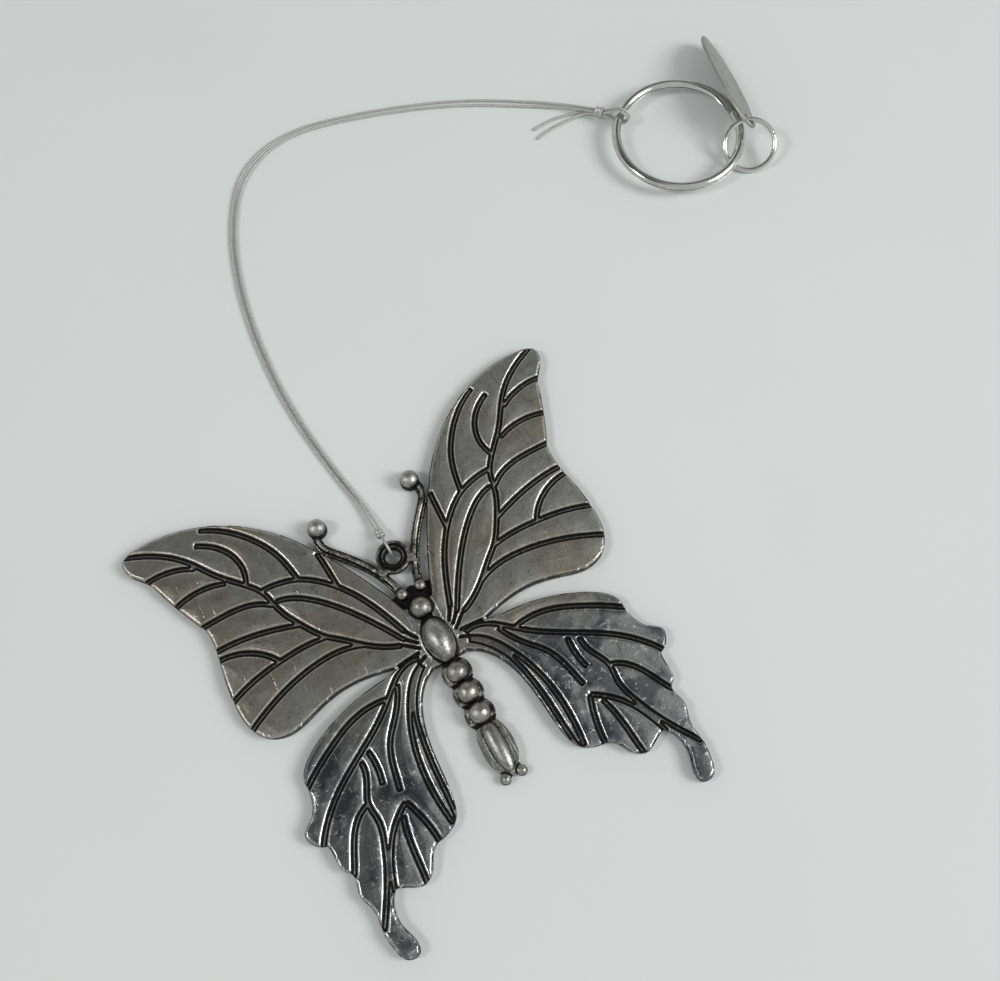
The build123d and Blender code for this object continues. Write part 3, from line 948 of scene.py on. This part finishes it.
    def hollows(self, mesh: bpy.types.Mesh, known: np.ndarray) -> np.ndarray:
        """Share of the sky that a point's neighbours hide.

        Args:
            mesh: The skin, in millimetres.
            known: Points on open panels, which are left at 0.

        Returns:
            A share for each point.
        """
        points = [v.co.copy() for v in mesh.vertices]
        tree = BVHTree.FromPolygons(points, [tuple(p.vertices) for p in mesh.polygons])
        rays = []
        for degrees, count in self.ray_rings:
            tilt = math.radians(degrees)
            for turn in (2 * math.pi * (k + self.ray_offset) / count for k in range(count)):
                rays.append(Vector((math.cos(turn) * math.sin(tilt),
                                    math.sin(turn) * math.sin(tilt), math.cos(tilt))))
        share = np.zeros(len(points))
        for i, vertex in enumerate(mesh.vertices):
            normal = vertex.normal
            if known[i] or points[i].z < self.hollow_from or normal.z < self.turned_down:
                continue
            if abs(points[i].x) > self.open_from and normal.z > self.open_normal:
                continue
            start = points[i] + normal * self.ray_start
            hits = 0.0
            for ray in rays:
                if ray.dot(normal) < self.ray_grazing:
                    hits += self.grazing_share
                    continue
                found = tree.ray_cast(start, ray, self.ray_reach)
                if found[0] is not None:
                    hits += 1.0 - self.hollow_fade_share * found[3] / self.ray_reach
            share[i] = self.hollow_gain * hits / len(rays)
        return share

    def simple_back(self, mesh: bpy.types.Mesh) -> bmesh.types.BMesh:
        """Swap the many small faces of the flat back for a few large ones.

        Args:
            mesh: The whole skin, in millimetres.

        Returns:
            The skin, with each point's normal in the layer "shading".
        """
        bm = bmesh.new()
        bm.from_mesh(mesh)
        layer = bm.verts.layers.float_vector.new("shading")
        for vertex in bm.verts:
            vertex[layer] = vertex.normal
        back = [f for f in bm.faces if all(v.co.z < self.flat for v in f.verts)]
        bmesh.ops.delete(bm, geom=back, context="FACES")
        bmesh.ops.triangle_fill(bm, use_beauty=False, use_dissolve=False,
                                edges=[e for e in bm.edges if e.is_boundary],
                                normal=(0.0, 0.0, -1.0))
        bmesh.ops.holes_fill(bm, edges=[e for e in bm.edges if e.is_boundary], sides=0)
        return bm

    def cut(self, mesh: bpy.types.Mesh) -> dict[Region, bpy.types.Mesh]:
        """Cut the skin into closed pieces that keep the whole skin's shading.

        Args:
            mesh: The whole skin, in millimetres.

        Returns:
            One mesh for each region, in metres.
        """
        whole = self.simple_back(mesh)
        made = {}
        for region, planes in REGION_PLANES.items():
            bm = whole.copy()
            for at, out in planes:
                bmesh.ops.bisect_plane(bm, geom=everything(bm), dist=self.cut_snap, plane_co=at,
                                       plane_no=out, clear_outer=True)
                rims = dict.fromkeys(v for e in bm.edges if e.is_boundary for v in e.verts)
                bmesh.ops.remove_doubles(bm, verts=list(rims), dist=self.cut_merge)
                open_edges = [e for e in bm.edges if e.is_boundary]
                caps = bmesh.ops.holes_fill(bm, edges=open_edges, sides=0)["faces"]
                bmesh.ops.triangulate(bm, faces=caps)
            bmesh.ops.transform(bm, matrix=Matrix.Scale(MM, 4), verts=bm.verts)
            layer = bm.verts.layers.float_vector["shading"]
            shading = []
            for face in bm.faces:
                on_back = all(v.co.z < self.flat * MM for v in face.verts)
                for vertex in face.verts:
                    shading.append((0.0, 0.0, -1.0) if on_back
                                   else tuple(vertex[layer].normalized()))
            bm.verts.layers.float_vector.remove(layer)
            part = bpy.data.meshes.new(region.value)
            bm.to_mesh(part)
            bm.free()
            part.shade_smooth()
            part.normals_split_custom_set(shading)
            made[region] = part
        whole.free()
        return made

    def build(self, node: bpy.types.Object) -> None:
        """Build every piece of the casting.

        Args:
            node: The casting's CAD node.
        """
        copy = self.copy_of(node)
        veins, rims = self.walls(copy)
        self.webs(copy)
        mesh = self.skin(copy)
        self.relief(mesh, veins, rims)
        material = self.finish.material()
        for region, part in self.cut(mesh).items():
            piece(region.value, part, material, "butterfly",
                  ["butterfly_casting"])
        bpy.data.meshes.remove(mesh)


# Rings and tag


@dataclass
class SplitRing:
    """Key ring coiled from flat wire: two turns and the joggle between them."""

    finish: BrightSteel
    centre: Vector = field(default_factory=lambda: Vector((79.68, 58.44, 2.45)))
    mid_radius: float = 10.9
    band: float = 1.6
    wire: float = 0.65
    gap: float = 0.06
    corner: float = 0.22
    roundness: float = 0.85
    crown: float = 0.95
    joggle_start: float = -4.0
    joggle_sweep: float = 34.0
    end_gap: float = 1.5
    section_points: int = 28
    turn_steps: int = 180
    joggle_parts: int = 8
    joggle_steps: int = 3

    def build(self) -> None:
        """Spin the wire's section round, up the joggle and round again."""
        bm = bmesh.new()
        level = (self.wire + self.gap) / 2
        bmesh.ops.create_circle(bm, cap_ends=True, segments=self.section_points, radius=1.0)
        for vertex in bm.verts:
            across, rise = vertex.co.x, vertex.co.y
            vertex.co.x = math.copysign(abs(across) ** self.roundness, across) * self.band / 2
            vertex.co.y = math.copysign(abs(rise) ** self.roundness, rise) * self.wire / 2
        start = heading(self.joggle_start + self.joggle_sweep)
        bmesh.ops.transform(bm, matrix=axes(start * self.mid_radius - UP * level, start, UP),
                            verts=bm.verts)
        shares = [part / self.joggle_parts for part in range(self.joggle_parts + 1)]
        eased = [share * share * (3 - 2 * share) for share in shares]
        turns = [(360 - self.joggle_sweep, self.turn_steps, 0.0)]
        for low, high in zip(eased, eased[1:]):
            turns.append((self.joggle_sweep / self.joggle_parts, self.joggle_steps,
                          2 * level * (high - low) / self.joggle_steps))
        turns.append((360 - self.joggle_sweep - self.end_gap, self.turn_steps, 0.0))
        moving = everything(bm)
        for degrees, steps, climb in turns:
            moving = spin(bm, moving, degrees, steps, climb)
        for vertex in bm.verts:
            off = (math.hypot(vertex.co.x, vertex.co.y) - self.mid_radius) / (self.band / 2)
            vertex.co.z *= math.sqrt(max(0.0, 1.0 - (self.crown * off) ** 2))
        mesh = mesh_from(bm, "key_ring", Matrix.Translation(self.centre))
        piece("key_ring", mesh, self.finish.material(), "ring", ["split_ring"])


@dataclass
class JumpRing:
    """Round wire ring with a cut, leaning over the split ring."""

    finish: BrightSteel
    ring: SplitRing
    radius: float = 4.75
    wire: float = 0.9
    link_angle: float = -41.5
    link_offset: float = 1.6
    lean: float = 30.0
    cut_angle: float = 35.0
    cut_sweep: float = 1.6
    floor_gap: float = 0.05
    section_points: int = 20
    turn_steps: int = 110

    def __post_init__(self) -> None:
        """Work out the radius of the wire's line."""
        self.mid_radius = self.radius - self.wire / 2

    def frame(self) -> tuple[Vector, Vector, Vector]:
        """Work out how the ring stands.

        Returns:
            Its centre and its two in-plane directions.
        """
        out = heading(self.link_angle)
        lean = math.radians(self.lean)
        rise = heading(self.link_angle + 90) * math.cos(lean) + UP * math.sin(lean)
        centre = self.ring.centre + out * (self.ring.mid_radius + self.link_offset)
        centre.z = self.mid_radius * math.sin(lean) + self.wire / 2 + self.floor_gap
        return centre, out, rise

    def at(self, degrees: float) -> Vector:
        """Find a point on the wire's line.

        Args:
            degrees: Its angle from the outward direction.

        Returns:
            The point, in millimetres.
        """
        centre, out, rise = self.frame()
        angle = math.radians(degrees)
        return centre + (out * math.cos(angle) + rise * math.sin(angle)) * self.mid_radius

    def build(self) -> None:
        """Spin the round wire from one side of the cut to the other."""
        bm = bmesh.new()
        bmesh.ops.create_circle(bm, cap_ends=True, segments=self.section_points,
                                radius=self.wire / 2)
        side = heading(self.cut_angle)
        bmesh.ops.transform(bm, matrix=axes(side * self.mid_radius, side, UP), verts=bm.verts)
        spin(bm, everything(bm), 360 - self.cut_sweep, self.turn_steps)
        mesh = mesh_from(bm, "link_ring", axes(*self.frame()))
        piece("link_ring", mesh, self.finish.material(), "link", ["jump_ring"])


@dataclass
class Tag:
    """Thin bare oval plate with a hole at one end."""

    finish: DullSteel
    link: JumpRing
    link_angle: float = 106.0
    length: float = 23.0
    width: float = 8.0
    thickness: float = 0.5
    hole: float = 1.05
    inset: float = 1.9
    turn: float = 76.5
    slope: float = -6.7
    roll: float = 48.0
    rim_points: int = 72
    cuts: int = 7
    on_hole: float = 1e-4
    warp: float = 0.10
    warp_per_mm: Pair = (0.2, 0.3)
    warp_level: float = 2.0
    rim_angle: float = 1.0
    rim_softness: float = 0.12
    rim_segments: int = 3

    def place(self) -> Matrix:
        """Work out how the plate stands.

        Returns:
            Its plane, with its origin in the hole.
        """
        slope, roll = math.radians(self.slope), math.radians(self.roll)
        long = heading(self.turn) * math.cos(slope) + UP * math.sin(slope)
        level = heading(self.turn + 90)
        normal = long.cross(level) * math.cos(roll) - level * math.sin(roll)
        return axes(self.link.at(self.link_angle), long, normal.cross(long))

    def build(self) -> None:
        """Bridge the oval to its hole, give it thickness and soften its rims."""
        bm = bmesh.new()
        outer = bmesh.ops.create_circle(bm, cap_ends=False, segments=self.rim_points,
                                        radius=1.0)["verts"]
        bmesh.ops.scale(bm, vec=(self.length / 2, self.width / 2, 1), verts=outer)
        bmesh.ops.translate(bm, vec=(self.length / 2 - self.inset, 0, 0), verts=outer)
        bmesh.ops.create_circle(bm, cap_ends=False, segments=self.rim_points, radius=self.hole)
        bmesh.ops.bridge_loops(bm, edges=list(bm.edges))
        inner = {v for v in bm.verts if abs(v.co.length - self.hole) < self.on_hole}
        radial = [e for e in bm.edges if (e.verts[0] in inner) != (e.verts[1] in inner)]
        bmesh.ops.subdivide_edges(bm, edges=radial, cuts=self.cuts, use_grid_fill=True)
        for vertex in bm.verts:
            x, y = (at * per_mm for at, per_mm in zip(vertex.co, self.warp_per_mm))
            vertex.co.z = self.warp * noise.noise(Vector((x, y, self.warp_level)))
        bmesh.ops.recalc_face_normals(bm, faces=bm.faces)
        bmesh.ops.solidify(bm, geom=bm.faces, thickness=self.thickness)
        heights = [v.co.z for v in bm.verts]
        bmesh.ops.translate(bm, vec=(0, 0, -(min(heights) + max(heights)) / 2), verts=bm.verts)
        rims = [e for e in bm.edges
                if len(e.link_faces) == 2 and e.calc_face_angle(0) > self.rim_angle]
        bmesh.ops.bevel(bm, geom=rims, offset=self.rim_softness, offset_type="OFFSET",
                        affect="EDGES", segments=self.rim_segments, profile=0.5,
                        material=-1)
        mesh = mesh_from(bm, "oval_tag", self.place())
        piece("oval_tag", mesh, self.finish.material(), "tag", ["tag"])


# Thread


class KnotKind(Enum):
    """The thread's two knots: how many wraps each has."""

    EYE = 2
    RING = 3


@dataclass
class Thread:
    """The doubled thread: strands, loops, knots and cut tails."""

    finish: MetallicThread
    casting: Casting
    ring: SplitRing
    diameter: float = 0.5
    gap: float = 0.08
    # Section and twist
    lobes: int = 3
    lobe_points: int = 4
    lobe_share: float = 0.17
    pitch: float = 1.25
    step: float = 0.17
    loop_step: float = 0.12
    cord_step: float = 0.5
    least_points: int = 8
    first_side: tuple[float, float, float] = (0.3, 0.2, 1.0)
    loop_resolution: int = 16
    tail_resolution: int = 24
    strand_resolution: int = 40
    # Knots and loops
    eye_turn: Vector = field(default_factory=lambda: Vector((0, 17.125, 1.6)))
    eye_half_height: float = 0.5
    eye_lift: float = 0.06
    eye_drop: float = 8.0
    eye_reach: float = 1.9
    eye_knot: Pair = (0.72, 1.4)
    ring_turn: Vector = field(default_factory=lambda: Vector((72.9244, 66.9941, 2.45)))
    ring_out: float = 128.3
    ring_drop: float = 12.0
    ring_reach: float = 3.2
    ring_knot: Pair = (0.95, 1.6)
    loop_clearance: float = 0.15
    loop_near_share: float = 0.45
    loop_far_share: float = 1.12
    loop_end_share: float = 0.5
    wrap_points: int = 10
    wrap_depth_share: float = 0.20
    wrap_power: float = 0.7
    wrap_end_share: float = 0.92
    wrap_lean: float = 0.10
    knot_steps: int = 28
    knot_merge: float = 0.002
    knot_end: float = 0.01
    knot_unevenness: float = 0.07
    knot_noise_per_mm: float = 1.6
    # Routes, from the eye to the ring and from the ring knot to the cut ends
    eye_lead: float = 4.2
    ring_lead: float = 4.9
    tail_lead: float = 1.8
    left_lay: tuple = ((-1.9, 32.6), (-3.35, 45.8), (-2.85, 58.6), (-1.0, 70.4), (2.75, 82.0),
                       (9.2, 92.3), (19.8, 96.1), (34.2, 92.7), (49.8, 86.6), (60.7, 79.85))
    right_lay: tuple = ((-1.15, 32.4), (-2.5, 45.9), (-2.05, 58.3), (-0.25, 69.9), (3.4, 81.3),
                        (9.7, 91.2), (20.0, 95.2), (33.8, 91.9), (49.3, 85.75), (60.1, 78.95))
    left_tail: tuple = ((65.6, 73.4), (62.2, 73.9), (59.1, 73.6))
    right_tail: tuple = ((65.5, 72.2), (62.0, 72.3), (58.7, 71.6))
    lay_height: float = 0.28

    def __post_init__(self) -> None:
        """Work out the lines of the two knots."""
        drop = math.radians(self.eye_drop)
        self.eye_line = Vector((0, math.cos(drop), -math.sin(drop)))
        self.eye_side = Vector((1, 0, 0))
        drop = math.radians(self.ring_drop)
        out = heading(self.ring_out)
        self.ring_side = heading(self.ring_out - 90)
        self.ring_line = out * math.cos(drop) - UP * math.sin(drop)
        self.ring_rise = out * math.sin(drop) + UP * math.cos(drop)
        self.eye_face = self.eye_turn + self.eye_line * (self.eye_reach + self.eye_knot[1])
        self.ring_face = self.ring_turn + self.ring_line * (self.ring_reach + self.ring_knot[1])
        self.pair = (self.diameter + self.gap) / 2

    def smooth_line(self, points: Sequence[Vector], resolution: int) -> list[Vector]:
        """Points of a smooth spline through a route.

        Args:
            points: The route's points, in millimetres.
            resolution: Steps for each point.

        Returns:
            Points along the spline, in millimetres.
        """
        curve = bpy.data.curves.new("route", "CURVE")
        curve.dimensions = "3D"
        curve.resolution_u = resolution
        spline = curve.splines.new("NURBS")
        spline.points.add(len(points) - 1)
        for knot, point in zip(spline.points, points):
            knot.co = (*point, 1.0)
        spline.order_u = 3
        spline.use_endpoint_u = True
        holder = bpy.data.objects.new("route", curve)
        mesh = bpy.data.meshes.new_from_object(holder)
        found = [v.co.copy() for v in mesh.vertices]
        bpy.data.objects.remove(holder)
        bpy.data.curves.remove(curve)
        bpy.data.meshes.remove(mesh)
        return found

    def even(self, line: Sequence[Vector], step: float) -> list[Vector]:
        """Points at even steps along a line.

        Args:
            line: The line's points.
            step: The wanted step.

        Returns:
            The evenly spaced points.
        """
        lengths = [(b - a).length for a, b in zip(line, line[1:])]
        along = np.concatenate([[0.0], np.cumsum(lengths)])
        count = max(self.least_points, int(along[-1] / step))
        wanted = np.linspace(0.0, along[-1], count)
        table = np.array([tuple(p) for p in line])
        return [Vector([float(np.interp(w, along, table[:, k])) for k in range(3)])
                for w in wanted]

    def twist(self, line: Sequence[Vector], node: str, step: float) -> bpy.types.Mesh:
        """Mesh of the thread along a line, twisted from its plies.

        Args:
            line: The line's points, in millimetres.
            node: The CAD node that it stands for.
            step: Distance between its sections.

        Returns:
            The mesh, in metres.
        """
        path = self.even(line, step)
        bm = bmesh.new()
        bmesh.ops.create_circle(bm, cap_ends=True, segments=self.lobe_points * self.lobes,
                                radius=1.0)
        ring = list(bm.verts)
        profile = []
        for vertex in ring:
            angle = math.atan2(vertex.co.y, vertex.co.x)
            reach = self.diameter / 2 * (1.0 - self.lobe_share
                                         + self.lobe_share * math.cos(self.lobes * angle))
            profile.append(Vector((math.cos(angle) * reach, math.sin(angle) * reach, 0)))
        edges = list(bm.edges)
        side = Vector(self.first_side).cross(path[1] - path[0]).normalized()
        travelled = 0.0
        for i, here in enumerate(path):
            before, after = path[max(i - 1, 0)], path[min(i + 1, len(path) - 1)]
            forward = (after - before).normalized()
            side = (side - forward * side.dot(forward)).normalized()
            turned = Matrix.Rotation(2 * math.pi * travelled / self.pitch, 4, "Z")
            place = axes(here, side, forward.cross(side)) @ turned
            if i:
                grown = bmesh.ops.extrude_edge_only(bm, edges=edges)["geom"]
                ring = [v for v in grown if isinstance(v, bmesh.types.BMVert)]
                edges = [e for e in grown if isinstance(e, bmesh.types.BMEdge)]
            for vertex, flat in zip(ring, profile):
                vertex.co = place @ flat
            if i + 1 < len(path):
                travelled += (path[i + 1] - here).length
        bmesh.ops.contextual_create(bm, geom=edges)
        return mesh_from(bm, "thread_" + node)

    def ground(self, lay: Sequence) -> list[Vector]:
        """Points of a route that lie on the ground."""
        return [Vector((x, y, self.lay_height)) for x, y in lay]

    def strand_route(self, lay: Sequence, side: int) -> list[Vector]:
        """Points of a strand from the eye knot to the ring knot.

        Args:
            lay: Its points on the ground.
            side: -1 for the left strand, 1 for the right one.

        Returns:
            The route's points, in millimetres.
        """
        eye_end = self.eye_face + self.eye_side * (side * self.pair)
        ring_end = (self.ring_face - self.ring_side * (side * self.pair)
                    + self.ring_rise * self.pair)
        return ([eye_end, eye_end + self.eye_line * self.eye_lead] + self.ground(lay)
                + [ring_end + self.ring_line * self.ring_lead, ring_end])

    def tail_route(self, lay: Sequence, side: int) -> list[Vector]:
        """Points of a cut tail, from the ring knot to the ground.

        Args:
            lay: Its points on the ground.
            side: -1 for the left tail, 1 for the right one.

        Returns:
            The route's points, in millimetres.
        """
        end = self.ring_face - self.ring_side * (side * self.pair) - self.ring_rise * self.pair
        return [end, end + self.ring_line * self.tail_lead] + self.ground(lay)

    def loop_line(self, turn: Vector, line: Vector, side: Vector, corner: float,
                  reach: float) -> list[Vector]:
        """Points of a loop out of a knot, round a rim and back.

        Args:
            turn: The middle of the rim's section.
            line: Direction from there to the knot.
            side: The rim's own direction.
            corner: Distance to the rim's corners.
            reach: Distance to the knot's face.

        Returns:
            The loop's points, in millimetres.
        """
        radius = corner + (self.loop_clearance + self.diameter / 2)
        near, far = self.loop_near_share * radius, self.loop_far_share * radius
        end = self.loop_end_share * self.pair
        out = [(reach, end), (near, far), (-near, far), (-far, near)]
        back = [(along, -off) for along, off in reversed(out)]
        across = side.cross(line)
        return self.smooth_line([turn + line * along + across * off
                                 for along, off in out + back], self.loop_resolution)

    def knot(self, face: Vector, line: Vector, side: Vector, size: Pair,
             kind: KnotKind, node: str) -> bpy.types.Mesh:
        """Mesh of a wrapped knot.

        Args:
            face: The middle of its first face.
            line: Its axis.
            side: A direction across it.
            size: Its radius and its length.
            kind: Which knot it is.
            node: The CAD node that it stands for.

        Returns:
            The mesh, in metres.
        """
        radius, length = size
        bm = bmesh.new()
        wraps = kind.value
        count = self.wrap_points * wraps
        last = bm.verts.new((0.0, 0.0, 0.0))
        for k in range(count + 1):
            share = k / count
            bulge = 1.0 - self.wrap_depth_share + self.wrap_depth_share * abs(
                math.sin(math.pi * wraps * share)) ** self.wrap_power
            ends = 1.0 if 0 < k < count else self.wrap_end_share
            point = bm.verts.new((length * share, radius * bulge * ends, 0.0))
            bm.edges.new((last, point))
            last = point
        bm.edges.new((last, bm.verts.new((length, 0.0, 0.0))))
        spin(bm, everything(bm), 360, self.knot_steps, axis=Vector((1, 0, 0)), merge=True)
        bmesh.ops.remove_doubles(bm, verts=bm.verts, dist=self.knot_merge)
        for vertex in bm.verts:
            at = vertex.co
            around = math.atan2(at.z, at.y)
            if self.knot_end < at.x < length - self.knot_end:
                vertex.co.x += self.wrap_lean * math.sin(around)
            off = 1.0 + self.knot_unevenness * noise.noise(at * self.knot_noise_per_mm)
            vertex.co.y *= off
            vertex.co.z *= off
        return mesh_from(bm, "thread_" + node, axes(face, line, side))

    def build(self) -> None:
        """Build every piece of the thread."""
        material = self.finish.material()

        def dress(node: str, mesh: bpy.types.Mesh) -> bpy.types.Object:
            """Make a mesh the thread's piece for a node."""
            return piece("thread_" + node, mesh, material, "cord", [node])

        hole, rim = self.casting.eye[1:3]
        eye_corner = math.hypot((rim - hole) / 2, self.eye_half_height)
        loop = self.loop_line(self.eye_turn + UP * self.eye_lift, self.eye_line, self.eye_side,
                              eye_corner, self.eye_reach)
        at_eye = [dress("eye_loop", self.twist(loop, "eye_loop", self.loop_step))]
        at_eye.append(dress("eye_knot", self.knot(
            self.eye_turn + self.eye_line * self.eye_reach, self.eye_line, self.eye_side,
            self.eye_knot, KnotKind.EYE, "eye_knot")))
        wire = self.ring
        ring_corner = wire.corner + math.hypot(
            wire.band / 2 - wire.corner, (2 * wire.wire + wire.gap) / 2 - wire.corner)
        at_ring = []
        for node, shift in (("ring_loop_left", self.pair), ("ring_loop_right", -self.pair)):
            loop = self.loop_line(self.ring_turn + self.ring_side * shift, self.ring_line,
                                  self.ring_side, ring_corner, self.ring_reach)
            at_ring.append(dress(node, self.twist(loop, node, self.loop_step)))
        at_ring.append(dress("ring_knot", self.knot(
            self.ring_turn + self.ring_line * self.ring_reach, self.ring_line, self.ring_side,
            self.ring_knot, KnotKind.RING, "ring_knot")))
        for node, lay, side in (("cord_tail_left", self.left_tail, -1),
                                ("cord_tail_right", self.right_tail, 1)):
            line = self.smooth_line(self.tail_route(lay, side), self.tail_resolution)
            at_ring.append(dress(node, self.twist(line, node, self.step)))
        for node, lay, side, pieces in (("cord_strand_left", self.left_lay, -1, at_ring),
                                        ("cord_strand_right", self.right_lay, 1, at_eye)):
            line = self.smooth_line(self.strand_route(lay, side), self.strand_resolution)
            path = self.even(line, self.cord_step)
            made = dress(node, self.twist(line, node, self.step))


# Studio


@dataclass(frozen=True)
class Lamp:
    """A soft square lamp: its place and side in metres, and its power in watts."""

    name: str
    place: tuple[float, float, float]
    side: float
    watts: float


@dataclass
class Studio:
    """Paper, lamps, world and camera."""

    paper: Paper
    focal_px: float = 1100.0
    image_px: float = 1000.0
    sensor: float = 36.0
    clip_m: Pair = (0.01, 10.0)
    camera_at: Vector = field(default_factory=lambda: Vector((-6.87, -35.86, 163.7)))
    right: Vector = field(default_factory=lambda: Vector((0.86891, -0.49467, -0.01759)))
    down: Vector = field(default_factory=lambda: Vector((-0.47048, -0.81434, -0.33984)))
    lamps: tuple = (Lamp("key", (0.66, -0.46, 0.62), 0.42, 1.34),
                    Lamp("fill", (-0.62, 0.16, 0.74), 0.20, 0.47))
    aim_m: tuple[float, float, float] = (0.02, 0.02, 0.0)
    spread: float = 90.0
    room: Colour = (0.50, 0.515, 0.51)
    dark: Colour = (0.035, 0.035, 0.035)
    # Dark patches of the room: direction, where each starts, where it is full, its share
    patches: tuple = (((-0.30, 0.30, 0.90), 0.84, 0.965, 1.0),
                      ((0.46, 0.50, 0.74), 0.925, 0.985, 0.9))
    paper_reach_m: float = 1.5
    paper_drop_m: float = 0.00002

    def camera(self) -> None:
        """Stand the camera where the photograph was taken from."""
        data = bpy.data.cameras.new("camera")
        data.sensor_fit = "HORIZONTAL"
        data.sensor_width = self.sensor
        data.lens = self.sensor * self.focal_px / self.image_px
        data.clip_start, data.clip_end = self.clip_m
        made = linked("camera", data)
        made.matrix_world = axes(self.camera_at * MM, self.right.normalized(),
                                 -self.down.normalized())
        bpy.context.scene.camera = made

    def hang(self, lamp: Lamp) -> None:
        """Hang a lamp that looks at the ornament.

        Args:
            lamp: Its place, size and power.
        """
        data = bpy.data.lights.new(lamp.name, "AREA")
        data.shape = "SQUARE"
        data.size = lamp.side
        data.spread = math.radians(self.spread)
        data.energy = lamp.watts
        made = linked(lamp.name, data)
        made.location = lamp.place
        made.rotation_mode = "QUATERNION"
        aim = Vector(self.aim_m) - Vector(lamp.place)
        made.rotation_quaternion = aim.to_track_quat("-Z", "Y")

    def world(self) -> None:
        """Soft pale room with darker patches where nothing is lit."""
        made = bpy.data.worlds.new("soft_room")
        recipe = Recipe(made)
        direction = recipe.node("ShaderNodeTexCoord").outputs["Generated"]
        share: Value | float = 0.0
        for towards, start, full, depth in self.patches:
            turned = recipe.node("ShaderNodeVectorMath", {"operation": "DOT_PRODUCT"}, {
                0: direction, 1: tuple(Vector(towards).normalized())})
            patch = Value(recipe, turned.outputs["Value"]).above(start, full) * depth
            share = patch.at_least(share)
        back = recipe.node("ShaderNodeBackground", None, {
            "Color": recipe.blend(share, self.room, self.dark), "Strength": 1.0})
        recipe.node("ShaderNodeOutputWorld", None, {"Surface": back.outputs[0]})
        bpy.context.scene.world = made

    def floor(self) -> None:
        """Lay the paper under the ornament."""
        bm = bmesh.new()
        bmesh.ops.create_grid(bm, x_segments=2, y_segments=2, size=self.paper_reach_m)
        bmesh.ops.translate(bm, vec=(0, 0, -self.paper_drop_m), verts=bm.verts)
        mesh = bpy.data.meshes.new("paper")
        bm.to_mesh(mesh)
        bm.free()
        mesh.materials.append(self.paper.material())
        linked("paper", mesh)

    def build(self) -> None:
        """Set the whole studio up."""
        self.camera()
        self.world()
        self.floor()
        for lamp in self.lamps:
            self.hang(lamp)
        bpy.context.scene.view_settings.view_transform = "Standard"


def main() -> None:
    """Build the ornament's looks."""
    logging.basicConfig(level=logging.INFO, format="%(name)s: %(message)s")
    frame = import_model()
    casting = Casting(AntiqueSilver())
    ring = SplitRing(BrightSteel())
    link = JumpRing(BrightSteel(), ring)
    Studio(Paper()).build()
    Thread(MetallicThread(), casting, ring).build()
    ring.build()
    link.build()
    Tag(DullSteel(), link).build()
    casting.build(frame["nodes"]["butterfly_casting"])


if __name__ == "__main__":
    main()
